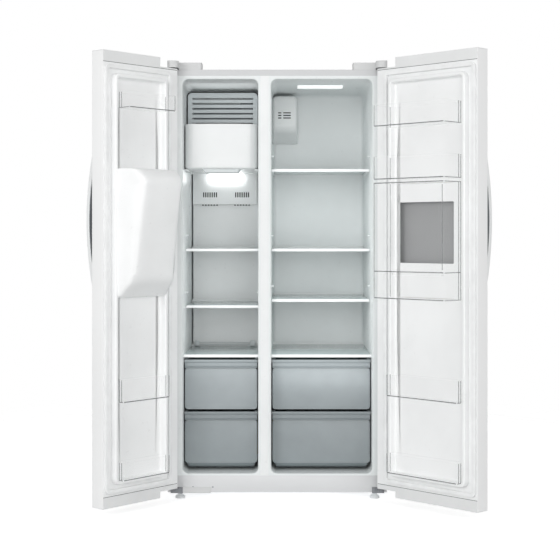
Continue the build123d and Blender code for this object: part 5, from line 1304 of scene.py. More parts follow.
@dataclass
class Drawer(Assembly):
    """A smoked drawer: a tub, a plain front and a hooded grip along its top."""

    palette: Palette
    node: str
    wall: float = 2.5 * MM
    lip_depth: float = 11.0 * MM
    lip_height: float = 34.0 * MM
    side: float = 9.0 * MM
    rim: float = 4.0 * MM
    tuck: float = 3.0 * MM
    floor_reach: float = 40.0 * MM
    foot_round: float = 18.0 * MM
    plan_round: float = 9.0 * MM
    look: Look = Look.SMOKE
    title = "drawer"

    def tub(self, box: Box) -> Surface:
        """The tub: its wall's section carried round the plan, up outside and down inside.

        Args:
            box: box of the drawer.

        Returns:
            The closed surface.
        """
        low, high = box.low, box.high
        w, reach = self.wall, self.floor_reach
        rect = np.array([low[0] + self.side, high[0] - self.side, low[1] + self.lip_depth, high[1]])
        floor, top = low[2], high[2]
        outside = [[-reach, floor], [0, floor], [0, top]]
        inside = [[-w, top], [-w, floor + w], [-reach, floor + w]]
        lip_round = 0.8 * MM
        rounds = np.array([0, self.foot_round, lip_round, lip_round, self.foot_round - 3 * MM, 0])
        section = eased(np.array(outside + inside), rounds, 6)
        return lofted(rounded_rings(round_rows(rect, section, self.plan_round)))

    def grip(self, box: Box) -> Surface:
        """The hood along the top of the front: a bead, a shallow groove and a lower bead.

        Args:
            box: box of the drawer.

        Returns:
            The closed surface.
        """
        low, high = box.low, box.high
        y0, y1, top = low[1], low[1] + self.lip_depth, high[2]
        foot = top - self.lip_height
        groove, nose, back = y0 + 2.5 * MM, y0 + 1.0 * MM, y0 + 2 * self.wall
        under = top - self.wall - self.rim
        bead = [[y1, top], [nose, top], [y0, top - 4 * MM], [y0, top - 9 * MM]]
        waist = [[groove, top - 11 * MM], [groove, top - 15 * MM]]
        apron = [[nose, top - 18 * MM], [nose, foot + 6 * MM]]
        channel = [[groove, foot + 4.5 * MM], [groove, foot + 3 * MM]]
        lower_bead = [[y0, foot + 2 * MM], [y0, foot]]
        inside = [[back, foot], [back, under], [y1, under]]
        outline = np.array(bead + waist + apron + channel + lower_bead + inside)
        rounds = np.array([0.6, 2, 2, 1.5, 1, 1, 1, 1, 1, 0.5, 0.6, 0.8, 0.8, 2, 0.6]) * MM
        body = extruded(eased(outline, rounds, 3, True), low[0], high[0])
        return Surface(SIDEWAYS.place(body.points), body.quads, body.caps)

    def face(self, box: Box) -> list[Surface]:
        """The plain front below the grip, and a rim along the top of each side.

        Args:
            box: box of the drawer.

        Returns:
            The front and the two rims.
        """
        low, high = box.low, box.high
        front, edge, width = low[1] + self.lip_depth, 1.2 * MM, self.side + self.wall
        face_low = np.array([low[0], front - self.wall, low[2] + self.tuck])
        face_high = np.array([high[0], front, high[2] - self.lip_height])
        parts = [strip(face_low, face_high, edge, 12 * MM, FRONTAL)]
        for x0, x1 in ((low[0], low[0] + width), (high[0] - width, high[0])):
            start = np.array([x0, front, high[2] - self.rim])
            parts.append(strip(start, np.array([x1, high[1], high[2]]), edge, edge, FRONTAL))
        return parts

    def build(self) -> None:
        """Build and dress the drawer."""
        box = node_box(self.node)
        body, slot = frame["nodes"][self.node]["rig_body"], "smoke_plastic"
        self.make(f"{self.node}_front", self.face(box), self.look, body, slot, (self.node,))
        # the grip takes a darker copy of the smoke: painted shade
        self.make(f"{self.node}_grip", [self.grip(box)], Look.SMOKE_GRIP_SHADED, body, slot)
        # the tub takes a darker copy of the smoke: painted shade along the drawer's foot
        self.make(f"{self.node}_tub", [self.tub(box)], Look.SMOKE_TUB_SHADED, body, slot)


@dataclass
class IceSystem(Assembly):
    """Freezer fittings: grille, ice maker, bucket with its auger, lamps, duct panel and fan."""

    palette: Palette
    bow: float = 14.0 * MM
    wall: float = 3.0 * MM
    drop: float = 14.0 * MM
    bucket_corner: float = 36.0 * MM
    floor_reach: float = 34.0 * MM
    chute_halves: tuple[float, float] = (80.0 * MM, 68.0 * MM)
    chute_depth: float = 90.0 * MM
    grille_strip_gap: float = 2.6 * MM
    grille_strip_round: float = 21.0 * MM
    vent_spread: float = 71.5 * MM
    vent_drop: float = 445.0 * MM
    vent_size: tuple[float, float] = (72.0 * MM, 30.0 * MM)
    vent_shade_drop: float = 26.0 * MM
    vent_shade_inset: float = 3.2 * MM
    drain_drop: float = 59.5 * MM
    drain_start: float = 35.0 * MM
    drain_pitch: float = 12.6 * MM
    drain_count: int = 6
    duct_slot_columns: tuple = ((25.0 * MM, 15.0 * MM), (48.0 * MM, 34.0 * MM))
    duct_slot_heights: tuple = (1624.0 * MM, 1612.5 * MM, 1601.0 * MM)
    duct_foot: float = 58.0 * MM
    duct_crown: float = 16.0 * MM
    title = "ice system"

    def bucket(self) -> Surface:
        """The bucket: its section carried round a plan whose front bows out.

        A point on the front moves forward by the bow times one minus the square of its
        distance from the middle, fading out round the front corners.

        Returns:
            The closed surface.
        """
        box = node_box("ice_bucket")
        floor, top = box.low[2] + self.drop, box.high[2]
        front = box.low[1] + self.bow
        rect = np.array([box.low[0], box.high[0], front, box.high[1]])
        w, reach, corner = self.wall, self.floor_reach, self.bucket_corner
        outside = [[-reach, floor], [0, floor], [0, top]]
        inside = [[-w, top], [-w, floor + w], [-reach, floor + w]]
        section = eased(np.array(outside + inside), np.array([0, 12, 1.2, 1.2, 10, 0]) * MM, 5)
        rings = rounded_rings(round_rows(rect, section, corner, 8 * MM), 8, 10)
        middle = (rect[0] + rect[1]) / 2
        half = (rect[1] - rect[0]) / 2
        share = np.clip((front + corner - rings[..., 1]) / corner, 0, 1)
        rings[..., 1] -= self.bow * (1 - ((rings[..., 0] - middle) / half) ** 2) * share
        return lofted(rings)

    def chute(self) -> Surface:
        """The tapered chute under the bucket: an open tube of four walls.

        Returns:
            The closed surface, a ring with a hole through it.
        """
        box = node_box("ice_bucket")
        middle = (box.low[0] + box.high[0]) / 2
        y0, corner = box.low[1] + self.bow + 6 * MM, 8 * MM
        y1 = y0 + self.chute_depth
        outside = np.array(
            [
                [middle - half, middle + half, y0, y1, box.low[2] + height, corner, corner]
                for half, height in zip(self.chute_halves, (self.drop, 0.0))
            ]
        )
        walls = np.array([8, -8, 3, -3, 0, -4, -4]) * MM
        rings = rounded_rings(np.vstack([outside, outside[::-1] + walls]), 5)
        return lofted(rings, looped=True)

    def grille_strip(self) -> Surface:
        """A dark strip round the grille's top and sides, carried along an arch.

        Returns:
            The closed surface.
        """
        box = node_box("ice_maker_grille")
        room = node_box("freezer_drawer_cover")
        gap = self.grille_strip_gap
        x0, x1 = room.low[0] + gap, room.high[0] - gap
        top, depth = box.high[2] + gap, box.low[1] + 6 * MM
        corners = np.array([[x0, box.low[2]], [x0, top], [x1, top], [x1, box.low[2]]])
        line = eased(corners, np.array([0, self.grille_strip_round, self.grille_strip_round, 0]), 8)
        path = np.stack([line[:, 0], np.full(len(line), depth), line[:, 1]], axis=1)
        section = np.array([[-4, -1.9], [4, -1.9], [5, -0.9], [5, 0.9], [4, 1.9], [-4, 1.9]]) * MM
        return lofted(carried(section, path, np.array([0.0, 1.0, 0.0])))

    def vent_shades(self) -> list[Surface]:
        """Painted shade: dark blocks behind the duct panel's two vents, dark strips in the drain slots.

        Returns:
            The dark blocks and the slot strips.
        """
        panel = node_box("freezer_duct_panel")
        front, middle = panel.low[1], (panel.low[0] + panel.high[0]) / 2
        top = node_box("lamp_covers").high[2] - self.vent_drop
        width, height = self.vent_size
        parts = []
        for side in (-1, 1):
            x = middle + side * self.vent_spread
            low = np.array([x - width / 2, front + self.vent_shade_inset, top - self.vent_shade_drop])
            high = low + np.array([width, 2 * MM, height])
            parts.append(strip(low, high, 0.4 * MM, 0.4 * MM, FRONTAL))
            for index in range(self.drain_count):
                across = x + self.drain_pitch * index - self.drain_start
                low = np.array([across, front - 0.5 * MM, top - self.drain_drop])
                parts.append(strip(low, low + np.array([7, 3, 5]) * MM, 0.3 * MM, 0.6 * MM, FRONTAL))
        return parts

    def cover_rail(self) -> list[Surface]:
        """Two posts and two rods along the rear of the glass over the freezer's drawers.

        Returns:
            The posts and the rods.
        """
        box = node_box("freezer_drawer_cover")
        glass = box.high[2] - TAIL_RISE
        rear = box.high[1] - 16 * MM
        left, right = box.low[0] + 36 * MM, box.high[0] - 46 * MM
        parts = []
        for x0 in (left - 22 * MM, right):
            low = np.array([x0, rear - 9 * MM, glass + 0.2 * MM])
            parts.append(strip(low, low + np.array([22, 9, 24]) * MM, 1.5 * MM, 3 * MM, FRONTAL))
        rod = 3 * MM
        for rise in (5 * MM, 14 * MM):
            low = np.array([left, rear - 2 * rod, glass + rise])
            high = np.array([right, rear - rod, glass + rise + rod])
            parts.append(strip(low, high, 0.5 * MM, 1.4 * MM, SIDEWAYS))
        return parts

    def duct_tower(self, box: Box) -> Surface:
        """The air duct: rounded rectangles stacked up over a slanted foot, drawn in at the crown.

        Args:
            box: box of the air duct.

        Returns:
            The closed surface.
        """
        x0, x1, back = box.low[0], box.high[0], box.high[1]
        y0, z0 = box.low[1], box.low[2]
        crown = self.duct_crown
        shoulder = box.high[2] - crown
        corners = np.array([[back - 20 * MM, z0], [y0, z0 + self.duct_foot], [y0, shoulder]])
        foot = eased(corners, 26 * MM, 8)
        turn = np.linspace(0, QUARTER, 9)[1:]
        draw = crown * (1 - np.cos(turn))
        top = np.stack([y0 + draw / 4, shoulder + crown * np.sin(turn)], axis=1)
        line = np.vstack([foot, top])
        inset = np.concatenate([np.zeros(len(foot)), draw])
        fixed = np.ones(len(line))
        front = np.minimum(14 * MM, (back - line[:, 0]) * 0.48)
        columns = [x0 + inset, x1 - inset, line[:, 0], back * fixed, line[:, 1], front, 0.5 * MM * fixed]
        return lofted(rounded_rings(np.stack(columns, axis=1), 7))

    def duct_slot_shades(self, box: Box) -> list[Surface]:
        """Dark strips in the air duct's face, in two columns: painted shade in its slots.

        Args:
            box: box of the air duct.

        Returns:
            The strips.
        """
        slots = []
        for start, width in self.duct_slot_columns:
            for height in self.duct_slot_heights:
                low = np.array([box.low[0] + start, box.low[1] - 0.4 * MM, height])
                high = low + np.array([width, 1.2 * MM, 5 * MM])
                slots.append(strip(low, high, 0.3 * MM, 2 * MM, FRONTAL))
        return slots

    def air_duct(self) -> None:
        """Build and dress the fresh-food air duct."""
        box = node_box("fridge_air_duct")
        tower, slot = self.duct_tower(box), "white_plastic"
        self.make("air_duct_tower", [tower], Look.WHITE_PLASTIC, "cabinet", slot, ("fridge_air_duct",))
        # dark strips painted as shade in the air duct's slots
        self.make("air_duct_slot_shades", self.duct_slot_shades(box), Look.BLACK_MATT, "cabinet", "gasket")

    def lamps(self) -> None:
        """Build and dress the two lamps' lenses: one in the ceiling, one in the duct panel."""
        fridge, freezer = solid_boxes("lamp_covers")
        lens = strip(fridge.low, fridge.high, 1.5 * MM, 6.0 * MM, UPRIGHT)
        self.make("fridge_lamp_lens", [lens], Look.LAMP, "cabinet", "lamp_lens", ("lamp_covers",))
        lens = strip(freezer.low, freezer.high, 2.5 * MM, 8.0 * MM, FRONTAL)
        self.make("freezer_lamp_lens", [lens], Look.FREEZER_LAMP, "cabinet", "lamp_lens")

    def build(self) -> None:
        """Build and dress the freezer's fittings."""
        bucket, body, grey = [self.bucket()], "ice_bucket", "light_grey_plastic"
        self.make("ice_bucket_shell", bucket, Look.WHITE_PLASTIC, body, "white_plastic", (body,))
        self.make("ice_chute", [self.chute()], Look.GREY_PLASTIC, body, grey)
        front = (
            # the grille takes a darker copy of the light grey plastic: painted shade
            ("ice_maker_grille", 1.2, Look.GRILLE_SHADED_PLASTIC, grey),
            ("freezer_duct_panel", 0.8, Look.WHITE_PLASTIC, "white_plastic"),
            # the ice maker takes dark grey, not the light grey of its slot: painted shade behind the grille
            ("ice_maker", 1.0, Look.DARK_PLASTIC, grey),
        )
        rear = (
            ("ice_auger", 0.4, Look.ALUMINIUM, "aluminium"),
            ("fan_blade", 0.3, Look.GREY_PLASTIC, grey),
            ("fan_motor", 0.8, Look.ZINC, "zinc"),
        )
        self.soften_all(front)
        self.make("grille_strip", [self.grille_strip()], Look.BLACK_MATT, "cabinet", "gasket")
        # dark blocks and strips painted as shade in the duct panel's vents and slots
        self.make("vent_shades", self.vent_shades(), Look.BLACK_MATT, "cabinet", "gasket")
        self.make("drawer_cover_rail", self.cover_rail(), Look.GREY_PLASTIC, "cabinet", grey)
        self.soften_all(rear)
        self.soften("evaporator", 0.3 * MM, Look.ALUMINIUM, "aluminium", 1)
        self.lamps()
        self.air_duct()


@dataclass
class MachineBay(Assembly):
    """Base pan, feet, rollers, compressor, coil, drain pan, machine cover and hinges."""

    palette: Palette
    title = "machine bay"

    def build(self) -> None:
        """Dress the base and everything under the step."""
        pieces = (
            ("base_pan", 0.8, Look.GALVANISED, "galvanised_steel"),
            ("machine_cover", 0.8, Look.GALVANISED, "galvanised_steel"),
            ("compressor", 1.5, Look.BLACK_STEEL, "black_enamel"),
            ("condenser_coil", 0.3, Look.BLACK_STEEL, "black_enamel"),
            ("drain_pan", 1.0, Look.GREY_PLASTIC, "light_grey_plastic"),
            # the levelling legs take white plastic, not the dark grey of their slot: painted light against
            # their shade
            ("levelling_leg_left", 0.8, Look.WHITE_PLASTIC, "dark_grey_plastic"),
            ("levelling_leg_right", 0.8, Look.WHITE_PLASTIC, "dark_grey_plastic"),
            ("rear_rollers", 0.8, Look.DARK_PLASTIC, "dark_grey_plastic"),
            ("door_hinges", 0.6, Look.HINGE_ZINC, "zinc"),
            # the hinge covers take a darker copy of the white plastic: painted shade
            ("hinge_covers", 2.0, Look.COVER_SHADED_PLASTIC, "white_plastic"),
        )
        self.soften_all(pieces)


# ---------------------------------------------------------------- doors
@dataclass
class Door(Assembly):
    """What both doors share: skin, caps, gasket, handle, liner ring and baskets."""

    palette: Palette
    prefix: str
    side: int
    dike: float = 28.0 * MM
    dike_width: float = 16.0 * MM
    plate: float = 2.5 * MM
    cove: float = 22 * MM
    cap_low: float = 43 * MM
    cap_high: float = 42 * MM
    ring_inset: tuple[float, float] = (36 * MM, 34 * MM)
    ring_round: float = 26 * MM
    hole_round: float = 10 * MM
    bay_margin: float = 28 * MM
    gasket_width: float = 17 * MM
    handle_toe: float = 9 * MM
    handle_foot: float = 45 * MM
    handle_thick: float = 17 * MM
    bin_wall: float = 2.5 * MM
    bin_reach: float = 22 * MM
    bin_clearance: float = 0.8 * MM
    rail: float = 2.4 * MM
    post: float = 2.2 * MM
    edge_round: float = 0.8 * MM
    title = "door"

    def __post_init__(self) -> None:
        """Find the door's open position and its main sizes."""
        swing = next(j for j in frame["joints"] if j["name"] == f"{self.prefix}_door_swing")
        angle = math.radians(-swing["range_deg"][0])
        along = (-self.side * math.cos(angle), -math.sin(angle), 0.0)
        inward = (-self.side * math.sin(angle), math.cos(angle), 0.0)
        origin = tuple(swing["pos_m"])
        self.body = f"{self.prefix}_door"
        self.standing = Seat(origin, along, inward, (0, 0, 1))      # along, inward, up
        self.facing = Seat(origin, along, (0, 0, 1), inward)        # along, up, inward
        self.skin = node_box(f"{self.body}_skin", self.facing)
        self.gasket = node_box(f"{self.body}_gasket", self.facing)
        self.baskets = solid_boxes(f"{self.body}_baskets", self.standing)
        self.inner = self.gasket.low[2]

    def seated(self, surface: Surface, seat: Seat) -> Surface:
        """A surface drawn in a seat, moved to the refrigerator's axes."""
        return Surface(seat.place(surface.points), surface.quads, surface.caps)

    def ring_rect(self) -> Array:
        """Outer rectangle of the dike: the gasket's, drawn in."""
        low, high = self.gasket.low, self.gasket.high
        across, up = self.ring_inset
        return np.array([low[0] + across, high[0] - across, low[1] + up, high[1] - up])

    def liner_shell(self, hole: Array, sleeve: list[tuple[float, float]]) -> Surface:
        """The liner: one section carried round, from the plate's edge over the dike to a hole.

        Args:
            hole: rectangle of the opening in the storage bay's floor.
            sleeve: (outset, depth) points that line the opening, from the bay's floor.

        Returns:
            The closed surface, a ring with a hole through it.
        """
        inner, top = self.inner, self.inner + self.dike
        back = inner - self.plate
        w, sheet = self.dike_width, 1.0 * MM
        low, high = self.skin.low, self.skin.high
        edge = np.array([low[0] + sheet, high[0] - sheet, low[1] + self.cap_low, high[1] - self.cap_high])
        rim = eased(np.array([[-sheet, back], [0, back], [0, inner], [-sheet, inner]]), 0.8 * MM, 3)
        plate = round_rows(edge, rim, 1.0 * MM)
        rise = [[4 * MM, inner], [0, inner], [-1.0 * MM, top]]
        fall = [[-w, top], [-w - 1.5 * MM, inner], [-w - self.bay_margin, inner]]
        rounds = np.array([0, 3 * MM, 6 * MM, 6 * MM, self.cove, 0])
        dike = round_rows(self.ring_rect(), eased(np.array(rise + fall), rounds, 6), self.ring_round)
        lining = round_rows(hole, np.array(sleeve), self.hole_round)
        return lofted(rounded_rings(np.vstack([plate, dike, lining]), 7, 2), looped=True)

    def handle(self) -> Surface:
        """A bowed bar: rounded rectangles stacked upward between an outer and an inner arc.

        Both arcs are circles over their chord; the inner one starts above the foot, and the
        bar is solid to the door's face below it.

        Returns:
            The closed surface, drawn along, inward and up.
        """
        box = node_box(f"{self.body}_handle", self.standing)
        face = self.skin.low[2]
        toe, foot, thick = self.handle_toe, self.handle_foot, self.handle_thick
        z0, z1 = box.low[2], box.high[2]
        middle, half = (z0 + z1) / 2, (z1 - z0) / 2
        at = np.sin(np.linspace(-QUARTER, QUARTER, 61)) * half
        rise = face - box.low[1] - toe
        outer = face - toe - circle_through(half, rise, at)
        reach = rise + toe - thick
        inner = face - circle_through(half - foot, reach, np.minimum(np.abs(at), half - foot))
        low = np.full_like(at, box.low[0])
        high = np.full_like(at, box.high[0])
        radius = np.minimum(6 * MM, (inner - outer) * 0.45)
        rows = np.stack([low, high, outer, inner, middle + at, radius, np.minimum(radius, 4 * MM)], axis=1)
        return lofted(rounded_rings(rows, 5))

    def handle_shade_strip(self) -> Surface:
        """A dark strip on the bar's inner side, painted shade, drawn like the bar along its inner arc.

        Returns:
            The closed surface, drawn along, inward and up.
        """
        box = node_box(f"{self.body}_handle", self.standing)
        face = self.skin.low[2]
        half = (box.high[2] - box.low[2]) / 2
        reach = face - box.low[1] - self.handle_thick
        span = half - self.handle_foot
        at = np.sin(np.linspace(-QUARTER, QUARTER, 49)) * (span - 12 * MM)
        inner = face - circle_through(span, reach, at)
        side = np.full_like(at, 3.5 * MM)
        low, high = box.low[0] + side, box.high[0] - side
        middle = box.middle()[2] + at
        edge = np.full_like(at, 1.0 * MM)
        columns = [low, high, inner - 2.0 * MM, inner + 0.6 * MM, middle, edge, edge / 2]
        return lofted(rounded_rings(np.stack(columns, axis=1), 3))

    def seam_shades(self) -> list[Surface]:
        """A dark strip in the joint between each end cap and the liner: painted shade for the shadow there.

        Returns:
            The lower and the upper strip.
        """
        low, high = self.skin.low, self.skin.high
        sheet, width = 1.6 * MM, 2.2 * MM
        seals = []
        for z in (low[1] + self.cap_low - width, high[1] - self.cap_high):
            start = np.array([low[0] + sheet, z, self.inner - 6 * MM])
            end = np.array([high[0] - sheet, z + width, self.inner - 0.3 * MM])
            seals.append(self.seated(soft_block(start, end, 0.3 * MM, 0.3 * MM), self.facing))
        return seals

    def gasket_ring(self) -> Surface:
        """The gasket: a bellows section with a magnet head, carried round and closed.

        The section is one side, pleated from the door out to the head, and the same side
        turned over at the gasket's width.

        Returns:
            The closed surface, drawn along, up and inward.
        """
        low, high = self.gasket.low, self.gasket.high
        rect = np.array([low[0], high[0], low[1], high[1]])
        w, foot, head = self.gasket_width, low[2], high[2]
        pleats = np.array([[-2, 0], [-0.5, 2.5], [-2.5, 5], [0, 7.5]]) * MM + np.array([0, foot])
        side = np.vstack([pleats, [[-1 * MM, head]]])
        far = side[::-1] * np.array([-1, 1]) - np.array([w, 0])
        curve = eased(np.vstack([side, far]), 1.2 * MM, 3, True)
        return lofted(rounded_rings(round_rows(rect, curve, 6 * MM + w), 5, 2), looped=True)

    def basket(self, box: Box) -> Surface:
        """A clear bin: its section, thicker at the rim, carried round a plan round in front.

        Args:
            box: box of the basket, along, inward and up.

        Returns:
            The closed surface, drawn the same way.
        """
        low, high = box.low, box.high
        rect = np.array([low[0], high[0], low[1] + self.bin_clearance, high[1]])
        w, reach, floor, top = self.bin_wall, self.bin_reach, low[2], high[2]
        rim = 2 * w
        outside = [[-reach, floor], [0, floor], [0, top]]
        inside = [[-rim, top], [-rim, top - 6 * MM], [-w, top - 9 * MM], [-w, floor + w], [-reach, floor + w]]
        rounds = np.array([0, 7, 1.5, 1.5, 1.5, 3, 6, 0]) * MM
        section = eased(np.array(outside + inside), rounds, 4)
        return lofted(rounded_rings(round_rows(rect, section, 4 * MM, 9 * MM), 6, 2))

    def edge_post(self, s0: float, depth: float, z0: float, z1: float) -> Surface:
        """A thin upright dark strip on a clear box's edge, painted shade, drawn along, inward and up."""
        low, high = [s0, depth, z0], [s0 + self.post, depth + self.post, z1]
        return soft_block(np.array(low), np.array(high), self.edge_round)

    def edge_rail(self, box: Box, z: float) -> Surface:
        """A thin level dark strip along the front of a clear box: painted shade.

        Args:
            box: box of the clear case or bin.
            z: height of the edge's foot.

        Returns:
            The closed surface.
        """
        inset, front = 5 * MM, box.high[1]
        low = np.array([box.low[0] + inset, front - self.rail, z])
        high = np.array([box.high[0] - inset, front, z + 1.6 * self.rail])
        return soft_block(low, high, self.edge_round)

    def edge_return(self, box: Box, z: float) -> Surface:
        """A thin level dark strip along the free end of a clear box, from the dike outward: painted shade.

        Args:
            box: box of the clear case or bin.
            z: height of the edge's foot.

        Returns:
            The closed surface.
        """
        rest = self.inner + self.dike + 1 * MM
        low = np.array([box.high[0] - self.rail, rest, z])
        high = np.array([box.high[0], box.high[1] - 5 * MM, z + 1.2 * self.rail])
        return soft_block(low, high, self.edge_round)

    def edge_posts(self, box: Box) -> list[Surface]:
        """Upright dark strips, painted shade: at a clear box's hinge side's front corner, and over the dikes.

        Args:
            box: box of the clear case or bin.

        Returns:
            The four posts.
        """
        rest = self.inner + self.dike + 1 * MM
        z0, z1 = box.low[2] + 3 * MM, box.high[2] - 1 * MM
        hinge, free = box.low[0], box.high[0] - self.post
        places = ((hinge, box.high[1] - 6 * MM), (hinge, rest), (free, rest), (free, rest + 13 * MM))
        return [self.edge_post(s0, depth, z0, z1) for s0, depth in places]

    def bin_edge_shades(self, box: Box) -> list[Surface]:
        """Dark strips painted as shade on a bin's edges: its foot lines and its posts."""
        foot = box.low[2]
        return [self.edge_rail(box, foot), self.edge_return(box, foot), *self.edge_posts(box)]

    def part(
        self,
        name: str,
        surfaces: list[Surface],
        look: Look,
        slot: str,
        replaces: tuple[str, ...] = (),
        seat: Seat | None = None,
    ) -> None:
        """Make a piece on this door.

        Args:
            name: name of the piece.
            surfaces: its closed surfaces.
            look: its finish.
            slot: the record's slot that its finish belongs to; not used.
            replaces: solid nodes that it stands for.
            seat: the seat that the surfaces are drawn in, or none if they are in place.
        """
        if seat is not None:
            surfaces = [self.seated(surface, seat) for surface in surfaces]
        self.make(name, surfaces, look, self.body, slot, replaces)

    def build_common(self) -> None:
        """Build and dress the pieces that both doors have."""
        body, prefix, white = self.body, self.prefix, "white_plastic"
        self.soften(f"{body}_skin", 0.3 * MM, Look.WHITE_STEEL, "white_steel")
        self.soften(f"{body}_caps", 0.8 * MM, Look.CAP_PLASTIC, white)
        self.keep(f"{body}_foam", Look.FOAM)
        bar, shade_strip, ring = [self.handle()], [self.handle_shade_strip()], [self.gasket_ring()]
        node, grey = f"{body}_handle", "dark_grey_plastic"
        self.part(f"{prefix}_handle_bar", bar, Look.WHITE_PLASTIC, white, (node,), self.standing)
        # a dark strip painted as shade on the handle's inner side
        self.part(f"{prefix}_handle_shade_strip", shade_strip, Look.DARK_PLASTIC, grey, (), self.standing)
        # dark strips painted as shade in the end caps' joints
        self.part(f"{prefix}_seam_shades", self.seam_shades(), Look.SEAM_SHADE, "gasket")
        node = f"{body}_gasket"
        self.part(f"{prefix}_gasket_ring", ring, Look.GASKET, "gasket", (node,), self.facing)
        bins = [self.basket(box) for box in self.baskets]
        edges = [part for box in self.baskets for part in self.bin_edge_shades(box)]
        node, clear = f"{body}_baskets", "clear_plastic"
        # dark strips painted as shade on the bins' edges
        self.part(f"{prefix}_bin_edge_shades", edges, Look.CLEAR_EDGE_SHADE, clear, (), self.standing)
        self.part(f"{prefix}_door_bins", bins, Look.CLEAR, clear, (node,), self.standing)


@dataclass
class FreezerDoor(Door):
    """The freezer door, with the dispenser housing inside and the dispenser outside."""

    bottom: float = 838 * MM
    knee: float = 905 * MM
    shoulder: float = 1294 * MM
    top: float = 1335 * MM
    knee_depth: float = 120 * MM
    shoulder_depth: float = 180 * MM
    top_depth: float = 140 * MM
    hinge_inset: float = 30 * MM
    free_inset: float = 34 * MM
    blend: float = 14 * MM
    bezel: float = 9 * MM
    niche_gap: float = 2 * MM
    title = "freezer door"

    def housing(self) -> Surface:
        """The dispenser housing: a side profile and a tapered plan, blended softly.

        Each ring crosses the housing at one place of the side profile. Its depth at a point
        along is the smaller of the profile's depth and the plan's depth there, rounded where
        the two meet by the mean less the root of half their difference squared plus a blend.

        Returns:
            The closed surface, drawn along, inward and up.
        """
        floor = self.inner - self.plate
        dike = self.inner + self.dike
        rect = self.ring_rect()
        s0, s1 = rect[0] + self.dike_width / 2, rect[1] - self.dike_width / 2
        lower = [[floor, self.bottom], [dike, self.bottom], [self.knee_depth, self.knee]]
        upper = [[self.shoulder_depth, self.shoulder], [self.top_depth, self.top], [floor, self.top]]
        profile = eased(np.array(lower + upper), np.array([0, 14, 26, 22, 16, 0]) * MM, 8)
        share = (1 - np.cos(np.linspace(0, 2 * QUARTER, 81))) / 2
        along = s0 + (s1 - s0) * share
        slope_hinge = dike + (along - s0) * (self.shoulder_depth - dike) / self.hinge_inset
        slope_free = dike + (s1 - along) * (self.shoulder_depth - dike) / self.free_inset
        limit = np.minimum(slope_hinge, slope_free)[None, :]
        depth = profile[:, :1]
        soft = (depth + limit) / 2 - np.sqrt(((depth - limit) / 2) ** 2 + self.blend**2)
        soft = np.clip(soft, floor, None)
        soft = np.where(depth <= floor + 0.1 * MM, floor, soft)
        height = np.broadcast_to(profile[:, 1:], soft.shape)
        across = np.broadcast_to(along[None, :], soft.shape)
        front = np.stack([across, soft, height], axis=-1)
        under = np.stack([across, np.full_like(soft, floor - 0.5 * MM), height], axis=-1)
        rings = np.concatenate([front, under[:, ::-1]], axis=1)
        return lofted(rings)

    def build(self) -> None:
        """Build and dress the freezer door."""
        self.build_common()
        niche = node_box("dispenser_frame", self.facing)
        edge = self.bezel - self.niche_gap
        s0, s1, z0, z1 = niche.low[0], niche.high[0], niche.low[1], niche.high[1]
        hole = np.array([s0 + edge, s1 - edge, z0 + edge, z1 - edge])
        lining = [(0.0, self.inner), (0.0, self.inner - self.plate)]
        liner = self.seated(self.liner_shell(hole, lining), self.facing)
        housing = self.seated(self.housing(), self.standing)
        node, slot = "freezer_door_liner", "white_liner"
        self.part("freezer_door_inner", [liner, housing], Look.DOOR_LINER, slot, (node,))
        self.soften("dispenser_frame", 1.5 * MM, Look.DARK_PLASTIC, "dark_grey_plastic", 3)
        self.soften("dispenser_paddle", 1.5 * MM, Look.GREY_PLASTIC, "light_grey_plastic", 3)
        self.soften("drip_tray", 0.8 * MM, Look.DARK_PLASTIC, "dark_grey_plastic")


